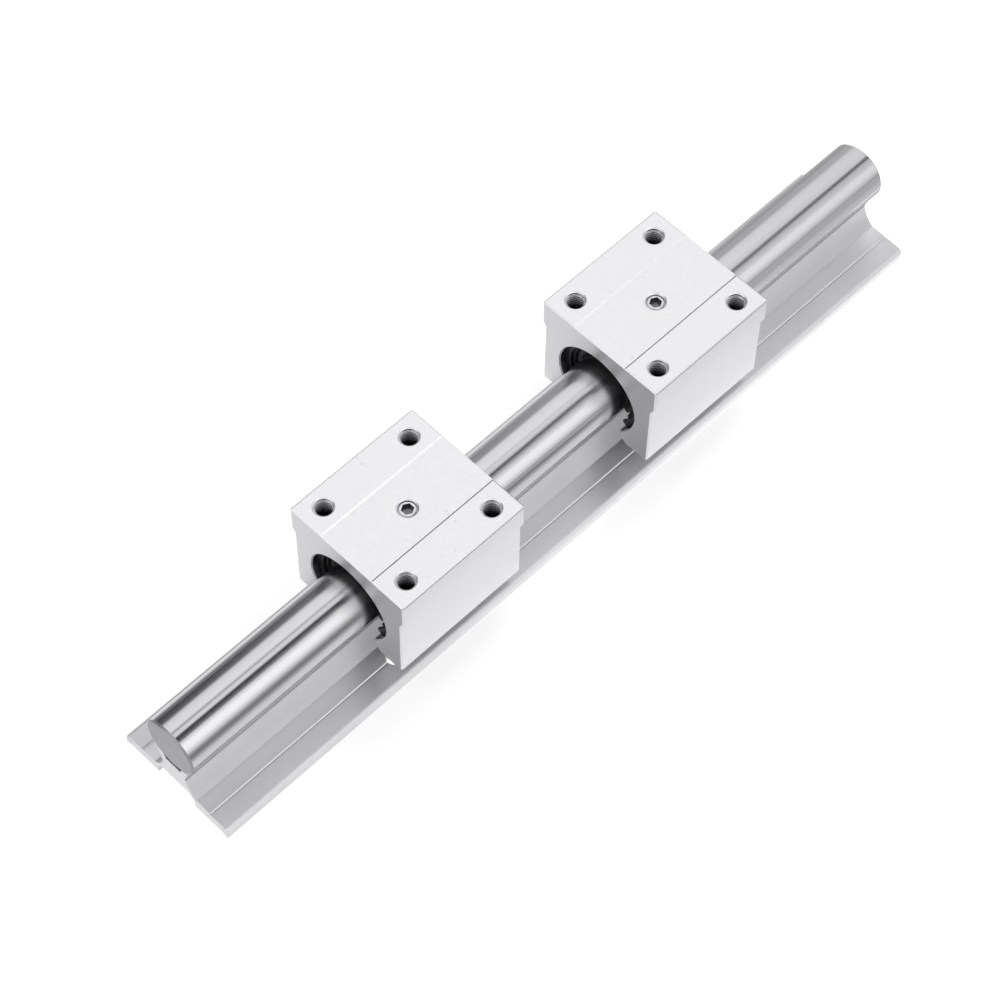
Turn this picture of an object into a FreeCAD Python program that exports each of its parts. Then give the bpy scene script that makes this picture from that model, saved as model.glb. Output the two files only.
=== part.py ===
# A supported round rail: a hardened shaft screwed onto an extruded aluminium
# support, with two open bearing blocks that slide along it.
#
# Millimetres. X runs across the rail, Y along it and Z up. The origin is on
# the underside of the support, at the middle of its width and length.
import FreeCAD, Part
import os
import Sketcher

# Lengths and volumes that differ by less than this are the same.
SAME = 0.001

doc = FreeCAD.newDocument("SupportedRail")
sheet = doc.addObject("Spreadsheet::Sheet", "Sizes")

# Every driving dimension, its value in millimetres or degrees, and what it is.
SIZES = (
    ("rail_length", 300.0, "length of the shaft and of its support"),
    ("shaft_diameter", 20.0, "hardened and chromed shaft"),
    ("shaft_chamfer", 0.6, "chamfer on both ends of the shaft"),
    ("axis_height", 27.0, "shaft axis above the underside"),
    ("base_width", 45.0, "width over both flanges"),
    ("flange_edge", 4.2, "thickness of a flange at its outer edge"),
    ("flange_root", 5.0, "thickness of a flange where it meets the web"),
    ("flange_round", 1.8, "radius on the outer top edge of a flange"),
    ("web_foot", 17.0, "width of the web at the flanges"),
    ("web_neck", 9.8, "width of the web at its narrowest"),
    ("neck_height", 12.0, "height of the narrowest place"),
    ("web_curve", 12.0, "radius of the web's hollow sides"),
    ("seat_width", 12.6, "width of the seat under the shaft"),
    ("seat_lip", 1.7, "height of the upright sides of the seat"),
    ("lip_chamfer", 0.35, "chamfer along the top of those sides"),
    ("relief_width", 7.6, "groove along the middle of the seat"),
    ("relief_depth", 1.6, "depth of that groove below the shaft"),
    ("relief_lean", 0.6, "how far the groove's sides lean in"),
    ("channel_width", 16.0, "channel along the underside"),
    ("channel_depth", 5.8, "depth of the channel"),
    ("channel_round", 3.5, "radius of the channel's upper corners"),
    ("line_width", 0.9, "scribed line along the hole centres"),
    ("line_depth", 0.45, "depth of that line"),
    ("hole_gauge", 30.0, "distance across the rail between mounting holes"),
    ("hole_pitch", 150.0, "distance along the rail between mounting holes"),
    ("hole_diameter", 5.5, "mounting hole through a flange"),
    ("screw_size", 6.0, "diameter of the screws that hold the shaft"),
    ("screw_head", 10.0, "diameter of their heads"),
    ("screw_head_height", 6.0, "height of their heads"),
    ("screw_length", 16.0, "length under the head"),
    ("screw_socket", 5.0, "hexagon of the heads, across flats"),
    ("screw_socket_depth", 3.0, "depth of that hexagon"),
    ("screw_chamfer", 0.5, "chamfer on the end of a screw"),
    ("screw_inset", 0.4, "how far the heads stay above the underside"),
    ("screw_runout", 2.0, "how far a tapped hole runs past its screw"),
    ("screw_play", 0.05, "gap around a screw in its tapped hole"),
    ("screw_clearance", 0.3, "gap around a screw in a clearance hole"),
    ("block_width", 48.0, "width of a bearing block over its shoulders"),
    ("block_length", 50.0, "length of a bearing block"),
    ("block_top", 23.0, "mounting face above the shaft axis"),
    ("block_height", 39.0, "mounting face to the feet"),
    ("shoulder_height", 10.0, "depth of the full width below the top"),
    ("shoulder_slope", 2.2, "height of the slope under a shoulder"),
    ("shoulder_inset", 1.3, "how far the sides stand in below it"),
    ("strip_width", 22.15, "lowered strip along the middle of the top"),
    ("strip_run", 0.55, "width of the slope on each side of that strip"),
    ("strip_depth", 0.4, "depth of that strip"),
    ("edge_chamfer", 0.5, "chamfer on a block's outer edges"),
    ("opening_angle", 40.0, "half the angle of the opening in a block"),
    ("tap_gauge", 35.0, "distance across between the tapped holes"),
    ("tap_spacing", 35.0, "distance along between the tapped holes"),
    ("tap_size", 6.0, "thread diameter of the tapped holes"),
    ("tap_depth", 12.0, "depth of the tapped holes"),
    ("tap_chamfer", 0.5, "countersink of the tapped holes"),
    ("bearing_diameter", 32.0, "outer diameter of a ball bushing"),
    ("bearing_length", 42.0, "length of a ball bushing"),
    ("bearing_wall", 1.4, "wall of the bushing's steel sleeve"),
    ("bearing_angle", 41.0, "half the angle of the sleeve's opening"),
    ("retainer_clearance", 0.35, "gap between the shaft and the retainer"),
    ("retainer_angle", 44.0, "half the angle of the retainer's opening"),
    ("seal_thickness", 2.5, "thickness of an end seal"),
    ("seal_clearance", 0.05, "running gap between the shaft and a seal"),
    ("seal_angle", 50.0, "half the angle of a seal's opening"),
    ("inner_gap", 0.05, "gap around the parts inside the sleeve"),
    ("ring_thickness", 1.2, "thickness of a snap ring"),
    ("ring_groove", 0.85, "depth of its groove in the block"),
    ("ring_width", 2.8, "width of a snap ring across its section"),
    ("ring_gap", 0.05, "gap between a snap ring and its groove"),
    ("ring_angle", 42.0, "half the angle of a snap ring's opening"),
    ("set_screw_length", 6.0, "length of the set screw in the top"),
    ("set_screw_socket", 3.0, "its hexagon, across flats"),
    ("set_screw_socket_depth", 3.0, "depth of that hexagon"),
    ("front_block_place", -54.0, "middle of the front block along the rail"),
    ("rear_block_place", 52.0, "middle of the rear block along the rail"),
)

for row, (alias, size, note) in enumerate(SIZES, 1):
    sheet.set("A%d" % row, alias)
    sheet.set("B%d" % row, str(size))
    sheet.set("C%d" % row, note)
    sheet.setAlias("B%d" % row, alias)
doc.recompute()


def bind(text):
    """Put the sheet's name before each alias in an expression."""
    words = []
    word = ""
    for mark in text + " ":
        if mark.isalnum() or mark == "_":
            word += mark
            continue
        words.append("Sizes." + word if word in ALIASES else word)
        words.append(mark)
        word = ""
    return "".join(words).strip()


def value(text):
    """The number that an expression in sizes comes to."""
    return float(sheet.evalExpression(bind(text)))


ALIASES = {alias for alias, size, note in SIZES}


def new_body(label, place=("0", "0", "0")):
    """A body at a place given by three expressions."""
    made = doc.addObject("PartDesign::Body", label)
    made.Label = label
    for axis, text in zip("xyz", place):
        made.setExpression("Placement.Base." + axis, bind(text))
    return made


def new_sketch(body, role, height=None):
    """An empty sketch on one of a body's own planes, or above it."""
    sketch = body.newObject("Sketcher::SketchObject", body.Name + "_sketch")
    plane = next(f for f in body.Origin.OriginFeatures if f.Role == role)
    sketch.AttachmentSupport = [(plane, "")]
    sketch.MapMode = "FlatFace"
    if height:
        sketch.setExpression("AttachmentOffset.Base.z", bind(height))
    return sketch


def fix(sketch, kind, parts, text):
    """One dimension of a sketch, bound to an expression."""
    number = sketch.addConstraint(Sketcher.Constraint(kind, *parts, value(text)))
    sketch.setExpression("Constraints[%d]" % number, bind(text))


def fix_point(sketch, geometry, end, point):
    """Both coordinates of a point, measured from the sketch's origin."""
    fix(sketch, "DistanceX", (-1, 1, geometry, end), point[0])
    fix(sketch, "DistanceY", (-1, 1, geometry, end), point[1])


def draw_loop(sketch, points, arcs):
    """A closed outline. arcs[i] is the radius and side of the stretch that
    leaves points[i], or None where it is straight. Side 1 has the centre on
    the left of the way."""
    spots = [FreeCAD.Vector(value(x), value(y), 0) for x, y in points]
    ends = []
    for number, start in enumerate(spots):
        stop = spots[(number + 1) % len(spots)]
        arc = arcs[number]
        if arc is None:
            made = sketch.addGeometry(Part.LineSegment(start, stop))
            ends.append((made, 1, 2))
            continue
        radius, side = arc
        middle = (start + stop) * 0.5
        across = FreeCAD.Vector(start.y - stop.y, stop.x - start.x, 0).normalize()
        reach = (value(radius) ** 2 - (stop - start).Length ** 2 / 4) ** 0.5
        centre = middle + across * reach * side
        circle = Part.Circle(centre, FreeCAD.Vector(0, 0, 1), value(radius))
        first, last = (start, stop) if side > 0 else (stop, start)
        bend = Part.ArcOfCircle(circle, circle.parameter(first), circle.parameter(last))
        made = sketch.addGeometry(bend)
        ends.append((made, 1, 2) if side > 0 else (made, 2, 1))
        fix(sketch, "Radius", (made,), radius)
    for number, (made, start, stop) in enumerate(ends):
        after = ends[(number + 1) % len(ends)]
        sketch.addConstraint(Sketcher.Constraint("Coincident", made, stop, after[0], after[1]))
        fix_point(sketch, made, start, points[number])


def draw_symmetric(sketch, half, arcs):
    """An outline that is the same on both sides of the vertical axis. half
    runs along the right side, and arcs[i] is its stretch i to i + 1."""
    points = list(half)
    bends = list(arcs)
    if half[-1][0] != "0":
        bends.append(None)
        points.append(("-(%s)" % half[-1][0], half[-1][1]))
    for number in range(len(half) - 2, -1, -1):
        bends.append(arcs[number])
        if number or half[0][0] != "0":
            points.append(("-(%s)" % half[number][0], half[number][1]))
    if half[0][0] != "0":
        bends.append(None)
    draw_loop(sketch, points, bends)


def draw_circle(sketch, x, y, radius):
    """A circle with its centre and radius bound."""
    spot = FreeCAD.Vector(value(x), value(y), 0)
    made = sketch.addGeometry(Part.Circle(spot, FreeCAD.Vector(0, 0, 1), value(radius)))
    fix_point(sketch, made, 3, (x, y))
    fix(sketch, "Radius", (made,), radius)


def draw_hexagon(sketch, flats):
    """A hexagon about the origin, by its width across flats."""
    corners = []
    for turn in range(6):
        reach = "(%s) / 2 / cos(30)" % flats
        corners.append(("%s * cos(%d)" % (reach, 60 * turn), "%s * sin(%d)" % (reach, 60 * turn)))
    draw_loop(sketch, corners, [None] * 6)


def pad(body, sketch, length):
    """Material on both sides of a sketch."""
    made = body.newObject("PartDesign::Pad", body.Name + "_pad")
    made.Profile = sketch
    made.Midplane = True
    made.setExpression("Length", bind(length))
    doc.recompute()
    return made


def rise(body, sketch, length):
    """Material on the side that a sketch faces."""
    made = body.newObject("PartDesign::Pad", body.Name + "_rise")
    made.Profile = sketch
    made.setExpression("Length", bind(length))
    doc.recompute()
    return made


def cut(body, sketch, length, upward=False, both_ways=False):
    """A pocket that goes down from its sketch, or up, or to both sides."""
    before = body.Shape.Volume
    made = body.newObject("PartDesign::Pocket", body.Name + "_cut")
    made.Profile = sketch
    made.Reversed = upward
    made.Midplane = both_ways
    made.setExpression("Length", bind(length))
    doc.recompute()
    if body.Shape.Volume > before - SAME:
        raise RuntimeError("a cut in %s removed nothing" % body.Label)
    return made


def turn_out(body, sketch):
    """A groove turned about a sketch's level axis."""
    before = body.Shape.Volume
    made = body.newObject("PartDesign::Groove", body.Name + "_groove")
    made.Profile = sketch
    made.ReferenceAxis = (sketch, ["H_Axis"])
    made.Angle = 360.0
    doc.recompute()
    if body.Shape.Volume > before - SAME:
        raise RuntimeError("a groove in %s removed nothing" % body.Label)
    return made


def repeat(body, feature, axis_role, count, pitch):
    """Copies of a feature along one of the body's own axes."""
    made = body.newObject("PartDesign::LinearPattern", body.Name + "_row")
    made.Originals = [feature]
    axis = next(f for f in body.Origin.OriginFeatures if f.Role == axis_role)
    made.Direction = (axis, [""])
    made.Mode = "Spacing"
    made.setExpression("Occurrences", bind(count))
    made.setExpression("Offset", bind(pitch))
    body.Tip = made
    doc.recompute()
    return made


def bevel(body, size, wanted):
    """A chamfer on the edges of the body's last feature that pass a test."""
    base = body.Tip
    names = ["Edge%d" % (i + 1) for i, e in enumerate(base.Shape.Edges) if wanted(e)]
    made = body.newObject("PartDesign::Chamfer", body.Name + "_bevel")
    made.Base = (base, names)
    made.setExpression("Size", bind(size))
    doc.recompute()
    return made


def is_round(edge, radius):
    """Whether an edge is a whole circle of a radius."""
    curve = edge.Curve
    whole = isinstance(curve, Part.Circle) and edge.isClosed()
    return whole and abs(curve.Radius - radius) < SAME


# The holes along the rail are counted from its length and centred on it.
HOLE_COUNT = "round(rail_length / hole_pitch)"
FIRST_HOLE = "(1 - %s) * hole_pitch / 2" % HOLE_COUNT
SHAFT_BOTTOM = "(axis_height - shaft_diameter / 2)"
HEAD_SEAT = "(screw_inset + screw_head_height)"


def make_shaft():
    """The round shaft, with a tapped hole over each of its screws."""
    body = new_body("shaft", ("0", "0", "axis_height"))
    sketch = new_sketch(body, "XZ_Plane")
    draw_circle(sketch, "0", "0", "shaft_diameter / 2")
    pad(body, sketch, "rail_length")
    radius = value("shaft_diameter / 2")
    bevel(body, "shaft_chamfer", lambda edge: is_round(edge, radius))
    sketch = new_sketch(body, "XY_Plane", "-shaft_diameter / 2")
    draw_circle(sketch, "0", FIRST_HOLE, "screw_size / 2 + screw_play")
    reach = "screw_length + screw_runout - (%s - %s)" % (SHAFT_BOTTOM, HEAD_SEAT)
    hole = cut(body, sketch, reach, upward=True)
    repeat(body, hole, "Y_Axis", HOLE_COUNT, "hole_pitch")
    return body


def make_support():
    """The extruded support, drawn as its section and drilled."""
    body = new_body("support_rail")
    sketch = new_sketch(body, "XZ_Plane")
    half_base = "base_width / 2"
    slope = "(flange_root - flange_edge) / (base_width - web_foot) * 2"
    line_middle = "hole_gauge / 2"
    line_half = "line_width / 2"
    flange_top = "flange_edge + (base_width / 2 - %s) * " + slope
    line_out = "(%s + %s)" % (line_middle, line_half)
    line_in = "(%s - %s)" % (line_middle, line_half)
    round_in = "(base_width / 2 - flange_round)"
    seat_drop = "axis_height - sqrt((shaft_diameter / 2) ^ 2 - (%s / 2) ^ 2)"
    seat_top = seat_drop % "seat_width"
    lip_top = seat_drop % "(seat_width - 2 * lip_chamfer)"
    half = (
        ("channel_width / 2 - channel_round", "channel_depth"),
        ("channel_width / 2", "channel_depth - channel_round"),
        ("channel_width / 2", "0"),
        (half_base, "0"),
        (half_base, "flange_edge - flange_round"),
        (round_in, flange_top % round_in),
        (line_out, flange_top % line_out),
        (line_middle, "%s - line_depth" % (flange_top % line_middle)),
        (line_in, flange_top % line_in),
        ("web_foot / 2", "flange_root"),
        ("web_neck / 2", "neck_height"),
        ("seat_width / 2", "%s - seat_lip" % seat_top),
        ("seat_width / 2", "%s - lip_chamfer" % lip_top),
        ("seat_width / 2 - lip_chamfer", lip_top),
        ("relief_width / 2", seat_drop % "relief_width"),
        ("relief_width / 2 - relief_lean", "%s - relief_depth" % SHAFT_BOTTOM),
    )
    arcs = [None] * (len(half) - 1)
    arcs[0] = ("channel_round", -1)
    arcs[4] = ("flange_round", 1)
    arcs[9] = ("web_curve", -1)
    arcs[13] = ("shaft_diameter / 2", -1)
    draw_symmetric(sketch, half, arcs)
    pad(body, sketch, "rail_length")

    sketch = new_sketch(body, "XY_Plane")
    draw_circle(sketch, "hole_gauge / 2", FIRST_HOLE, "hole_diameter / 2")
    draw_circle(sketch, "-hole_gauge / 2", FIRST_HOLE, "hole_diameter / 2")
    holes = cut(body, sketch, "flange_root", upward=True)
    repeat(body, holes, "Y_Axis", HOLE_COUNT, "hole_pitch")

    sketch = new_sketch(body, "XY_Plane")
    draw_circle(sketch, "0", FIRST_HOLE, "screw_size / 2 + screw_clearance")
    through = cut(body, sketch, SHAFT_BOTTOM, upward=True)
    repeat(body, through, "Y_Axis", HOLE_COUNT, "hole_pitch")

    sketch = new_sketch(body, "XY_Plane")
    draw_circle(sketch, "0", FIRST_HOLE, "screw_head / 2 + screw_clearance")
    seats = cut(body, sketch, HEAD_SEAT, upward=True)
    repeat(body, seats, "Y_Axis", HOLE_COUNT, "hole_pitch")
    return body


def make_shaft_screw(number):
    """A socket head screw, head down, that holds the shaft on the support."""
    along = "%s + %d * hole_pitch" % (FIRST_HOLE, number)
    body = new_body("shaft_screw_%d" % (number + 1), ("0", along, "screw_inset"))
    sketch = new_sketch(body, "XY_Plane")
    draw_circle(sketch, "0", "0", "screw_head / 2")
    rise(body, sketch, "screw_head_height")
    sketch = new_sketch(body, "XY_Plane", "screw_head_height")
    draw_circle(sketch, "0", "0", "screw_size / 2")
    rise(body, sketch, "screw_length")
    sketch = new_sketch(body, "XY_Plane")
    draw_hexagon(sketch, "screw_socket")
    cut(body, sketch, "screw_socket_depth", upward=True)
    head = value("screw_head / 2")
    middle = value("screw_head_height / 2")
    bevel(body, "screw_chamfer", lambda e: is_round(e, head) and e.CenterOfMass.z < middle)
    return body


def make_housing(name, place):
    """A bearing block's aluminium housing, open below for the web."""
    body = new_body(name + "_housing", ("0", place, "axis_height"))
    sketch = new_sketch(body, "XZ_Plane")
    bore = "bearing_diameter / 2"
    feet = "block_top - block_height"
    side = "(block_width / 2 - shoulder_inset)"
    half = (
        ("0", bore),
        ("%s * sin(opening_angle)" % bore, "-%s * cos(opening_angle)" % bore),
        ("-(%s) * tan(opening_angle)" % feet, feet),
        (side, feet),
        (side, "block_top - shoulder_height - shoulder_slope"),
        ("block_width / 2", "block_top - shoulder_height"),
        ("block_width / 2", "block_top"),
    )
    arcs = [None] * (len(half) - 1)
    arcs[0] = (bore, -1)
    draw_symmetric(sketch, half, arcs)
    pad(body, sketch, "block_length")

    end = value("block_length / 2")
    top = value("block_top")
    radius = value(bore)

    def is_outer(edge):
        """Whether an edge is straight and on the outside of the block."""
        spot = edge.CenterOfMass
        rim = abs(spot.y) > end - SAME and max(abs(spot.x), spot.z) > radius
        corner = abs(spot.y) < SAME and (spot.z > top - SAME or spot.z < value(feet) + SAME)
        return isinstance(edge.Curve, Part.Line) and (rim or (corner and abs(spot.x) > radius))

    bevel(body, "edge_chamfer", is_outer)

    sketch = new_sketch(body, "XZ_Plane")
    half = (
        ("strip_width / 2 - strip_run", "block_top - strip_depth"),
        ("strip_width / 2", "block_top"),
        ("strip_width / 2", "block_top + strip_depth"),
    )
    draw_symmetric(sketch, half, [None, None])
    cut(body, sketch, "2 * block_length", both_ways=True)

    for side_sign in ("-", ""):
        sketch = new_sketch(body, "YZ_Plane")
        inner = "%s(bearing_length / 2)" % side_sign
        outer = "%s(bearing_length / 2 + ring_thickness + 2 * ring_gap)" % side_sign
        groove = "%s + ring_groove" % bore
        inside = "%s - ring_groove" % bore
        loop = ((inner, inside), (outer, inside), (outer, groove), (inner, groove))
        draw_loop(sketch, loop, [None] * 4)
        turn_out(body, sketch)

    sketch = new_sketch(body, "XY_Plane", "block_top")
    for across in ("-", ""):
        for along in ("-", ""):
            draw_circle(sketch, across + "tap_gauge / 2", along + "tap_spacing / 2", "tap_size / 2")
    cut(body, sketch, "tap_depth")
    sketch = new_sketch(body, "XY_Plane", "block_top")
    draw_circle(sketch, "0", "0", "tap_size / 2")
    cut(body, sketch, "block_top")
    mouth = value("tap_size / 2")
    face = value("block_top - 2 * strip_depth")
    bevel(body, "tap_chamfer", lambda e: is_round(e, mouth) and e.CenterOfMass.z > face)
    return body


def open_ring(label, place, outer, inner, angle, length):
    """A ring about the shaft, open below by twice an angle."""
    body = new_body(label, ("0", place, "axis_height"))
    sketch = new_sketch(body, "XZ_Plane")
    half = (
        ("0", outer),
        ("(%s) * sin(%s)" % (outer, angle), "-(%s) * cos(%s)" % (outer, angle)),
        ("(%s) * sin(%s)" % (inner, angle), "-(%s) * cos(%s)" % (inner, angle)),
        ("0", inner),
    )
    draw_symmetric(sketch, half, ((outer, -1), None, (inner, 1)))
    pad(body, sketch, length)
    return body


def make_bearing(name, place):
    """The open ball bushing in a block, with its seals and snap rings."""
    sleeve_inner = "bearing_diameter / 2 - bearing_wall"
    made = []
    sleeve = open_ring(
        name + "_sleeve", place, "bearing_diameter / 2", sleeve_inner,
        "bearing_angle", "bearing_length")
    retainer = open_ring(
        name + "_ball_retainer", place, sleeve_inner + " - inner_gap",
        "shaft_diameter / 2 + retainer_clearance", "retainer_angle",
        "bearing_length - 2 * seal_thickness - 2 * inner_gap")
    made += [sleeve, retainer]
    for end, sign in (("front", "-"), ("rear", "+")):
        seal_place = "%s %s (bearing_length - seal_thickness) / 2" % (place, sign)
        made.append(open_ring(
            "%s_seal_%s" % (name, end), seal_place, sleeve_inner + " - inner_gap",
            "shaft_diameter / 2 + seal_clearance", "seal_angle", "seal_thickness"))
        ring_place = "%s %s (bearing_length / 2 + ring_gap + ring_thickness / 2)" % (place, sign)
        ring_outer = "bearing_diameter / 2 + ring_groove - ring_gap"
        made.append(open_ring(
            "%s_snap_ring_%s" % (name, end), ring_place, ring_outer,
            ring_outer + " - ring_width", "ring_angle", "ring_thickness"))
    return made


def make_set_screw(name, place):
    """The set screw in the top of a block, down on the sleeve."""
    height = "axis_height + bearing_diameter / 2"
    body = new_body(name + "_set_screw", ("0", place, height))
    sketch = new_sketch(body, "XY_Plane")
    draw_circle(sketch, "0", "0", "tap_size / 2 - screw_play")
    rise(body, sketch, "set_screw_length")
    sketch = new_sketch(body, "XY_Plane", "set_screw_length")
    draw_hexagon(sketch, "set_screw_socket")
    cut(body, sketch, "set_screw_socket_depth")
    radius = value("tap_size / 2 - screw_play")
    bevel(body, "screw_chamfer", lambda e: is_round(e, radius))
    return body


pieces = [make_shaft(), make_support()]
for number in range(int(value(HOLE_COUNT))):
    pieces.append(make_shaft_screw(number))
for name in ("front", "rear"):
    place = name + "_block_place"
    pieces.append(make_housing(name, place))
    pieces += make_bearing(name, place)
    pieces.append(make_set_screw(name, place))

doc.recompute()
for thing in doc.Objects:
    if "Invalid" in thing.State or "Error" in thing.State:
        raise RuntimeError("%s failed: %s" % (thing.Label, thing.State))
for piece in pieces:
    if piece.Shape.isNull() or not piece.Shape.isValid():
        raise RuntimeError("%s has no valid shape" % piece.Label)

os.makedirs("parts", exist_ok=True)
for piece in pieces:
    box = piece.Shape.BoundBox
    print(piece.Label, len(piece.Shape.Solids), round(piece.Shape.Volume, 1),
          [round(n, 2) for n in (box.XMin, box.XMax, box.YMin, box.YMax, box.ZMin, box.ZMax)])
    piece.Shape.exportStep("parts/%s.step" % piece.Label)
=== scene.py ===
"""The looks of a supported round rail with two open bearing blocks.

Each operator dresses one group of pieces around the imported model, which is
loaded as a fixed frame. Every length is in metres and in the frame's own axes:
X across the rail, Y along it, Z up.
"""
import math

import bmesh
import bpy
from mathutils import Matrix, Vector


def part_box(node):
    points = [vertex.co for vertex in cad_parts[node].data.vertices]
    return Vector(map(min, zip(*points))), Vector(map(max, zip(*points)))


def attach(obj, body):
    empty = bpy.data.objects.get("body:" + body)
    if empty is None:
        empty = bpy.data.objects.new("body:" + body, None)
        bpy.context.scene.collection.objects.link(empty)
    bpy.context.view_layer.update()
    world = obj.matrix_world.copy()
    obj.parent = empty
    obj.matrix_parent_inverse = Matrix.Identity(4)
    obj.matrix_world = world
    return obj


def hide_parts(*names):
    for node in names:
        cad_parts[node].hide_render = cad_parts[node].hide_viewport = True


bl_info = {
    "name": "Supported Round Rail",
    "version": (1, 0, 0),
    "blender": (4, 5, 0),
    "location": "3D Viewport > Sidebar > Rail",
    "description": "Builds a supported round rail, its open bearing blocks and a plain stage",
    "category": "Object",
}

MM = 0.001
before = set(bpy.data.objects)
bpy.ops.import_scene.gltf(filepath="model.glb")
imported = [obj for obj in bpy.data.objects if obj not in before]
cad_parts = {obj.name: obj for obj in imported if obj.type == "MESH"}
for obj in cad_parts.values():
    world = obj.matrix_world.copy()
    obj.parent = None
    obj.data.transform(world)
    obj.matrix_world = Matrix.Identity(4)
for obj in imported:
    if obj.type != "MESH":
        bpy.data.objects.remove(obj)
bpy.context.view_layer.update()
CARRIAGES = ("front", "rear")
# Points that are closer than this are one point.
JOINED = 1e-6
# How far a face's middle may lie from where a test expects it.
SLACK = 0.05 * MM
# Above this share of its normal a face is square to an axis, and below the
# other it is nearly along it.
SQUARE, NEARLY_ALONG = 0.98, 0.2
# Facets round each turned shape.
SHAFT_FACETS, DRILL_FACETS, TAP_FACETS = 160, 40, 48
CAP_SCREW_FACETS, SET_SCREW_FACETS = 72, 60
GROOVE_FACETS, RING_FACETS, SEAL_FACETS = 120, 140, 130
BALL_ROWS, BALLS_IN_ROW = 5, 12


def node_size(node):
    """Width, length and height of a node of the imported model."""
    low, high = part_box(node)
    return high - low


def node_middle(node):
    """Middle of a node's box."""
    low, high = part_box(node)
    return (low + high) / 2


SHAFT_SIZE = node_size("shaft")
SUPPORT_SIZE = node_size("support_rail")
BLOCK_SIZE = node_size("front_housing")


# Property groups


def distance(name, description, default):
    """A length that a user may change, in metres."""
    return bpy.props.FloatProperty(
        name=name, description=description, default=default,
        min=0.0, soft_max=1.0, precision=5, subtype="DISTANCE", unit="LENGTH")


def degrees(name, description, default):
    """An angle that a user may change."""
    return bpy.props.FloatProperty(
        name=name, description=description, default=math.radians(default),
        subtype="ANGLE", unit="ROTATION")


def linear(hex_code):
    """An sRGB colour written as hex, in linear light."""
    parts = [int(hex_code[i:i + 2], 16) / 255 for i in (1, 3, 5)]
    return tuple(p / 12.92 if p <= 0.04045 else ((p + 0.055) / 1.055) ** 2.4 for p in parts)


def colour(name, description, hex_code):
    """A colour that a user may change."""
    return bpy.props.FloatVectorProperty(
        name=name, description=description, default=linear(hex_code),
        size=3, min=0.0, max=1.0, subtype="COLOR")


class RailSupportSizes(bpy.types.PropertyGroup):
    """Sizes of the shaft and its support"""

    shaft_radius: distance("Shaft radius", "Radius of the ground shaft", SHAFT_SIZE.x / 2)
    length: distance("Length", "Length of the rail", SHAFT_SIZE.y)
    axis_height: distance("Axis height", "Shaft axis above the underside", node_middle("shaft").z)
    shaft_chamfer: distance("Shaft chamfer", "Chamfer on the shaft's ends", 0.6 * MM)
    base_width: distance("Base width", "Width over both flanges", SUPPORT_SIZE.x)
    flange_edge: distance("Flange edge", "Thickness at a flange's outer edge", 4.2 * MM)
    flange_root: distance("Flange root", "Thickness of a flange at the web", 5.0 * MM)
    flange_round: distance("Flange round", "Radius of a flange's top edge", 1.8 * MM)
    web_foot: distance("Web foot", "Width of the web at the flanges", 18.4 * MM)
    web_neck: distance("Web neck", "Least width of the web", 9.8 * MM)
    neck_height: distance("Neck height", "Height of the web's neck", 12.0 * MM)
    web_curve: distance("Web curve", "Radius of the web's hollow sides", 12.0 * MM)
    seat_width: distance("Seat width", "Width of the seat under the shaft", 12.6 * MM)
    seat_lip: distance("Seat lip", "Height of the seat's upright sides", 1.7 * MM)
    lip_chamfer: distance("Lip chamfer", "Width of the chamfer on the seat's lips", 0.35 * MM)
    relief_width: distance("Relief width", "Groove along the seat", 7.6 * MM)
    relief_depth: distance("Relief depth", "Depth of the groove in the seat", 1.6 * MM)
    relief_lean: distance("Relief lean", "How far the groove's sides lean in", 0.6 * MM)
    channel_width: distance("Channel width", "Channel along the underside", 16.0 * MM)
    channel_depth: distance("Channel depth", "Depth of the channel", 5.8 * MM)
    channel_round: distance("Channel round", "Radius in the channel", 3.5 * MM)
    line_width: distance("Line width", "Scribed line along the holes", 0.9 * MM)
    line_depth: distance("Line depth", "Depth of the scribed line", 0.45 * MM)
    hole_gauge: distance("Hole gauge", "Between mounting holes, across", 30.0 * MM)
    hole_pitch: distance("Hole pitch", "Between mounting holes, along", 150.0 * MM)
    hole_radius: distance("Hole radius", "Radius of a mounting hole", 2.75 * MM)
    edge_break: distance("Edge break", "Bevel that takes off a sharp edge", 0.15 * MM)


class RailScrewSizes(bpy.types.PropertyGroup):
    """Sizes of the screws and of the holes for them"""

    shank: distance("Shank", "Radius of a shaft screw's shank", 3.0 * MM)
    point: distance("Point", "Chamfer on a shaft screw's point", 0.6 * MM)
    head_height: distance("Head height", "Height of a shaft screw's head", 6.0 * MM)
    head_chamfer: distance("Head chamfer", "Chamfer on a shaft screw's head", 0.5 * MM)
    head_knurl: distance("Head knurl", "Depth of the head's knurling", 0.15 * MM)
    head_hexagon: distance("Head hexagon", "A head's socket across its flats", 5.0 * MM)
    head_socket: distance("Head socket", "Depth of a head's socket", 3.0 * MM)
    seat_height: distance("Seat height", "Where a head's hole ends in the support", 6.4 * MM)
    hole_past: distance("Hole past", "How far a hole in the shaft runs past its screw", 2.0 * MM)
    hole_point: distance("Hole point", "Height of the cone at its end", 1.5 * MM)
    hole_room: distance("Hole room", "Gap round a head or shank in the support", 0.3 * MM)
    thread_room: distance("Thread room", "Gap round a shank in the shaft", 0.05 * MM)
    set_chamfer: distance("Set chamfer", "Chamfer on a set screw's ends", 0.5 * MM)
    set_hexagon: distance("Set hexagon", "A set screw's socket across its flats", 3.6 * MM)
    set_socket: distance("Set socket", "Depth of a set screw's socket", 1.6 * MM)


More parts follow.
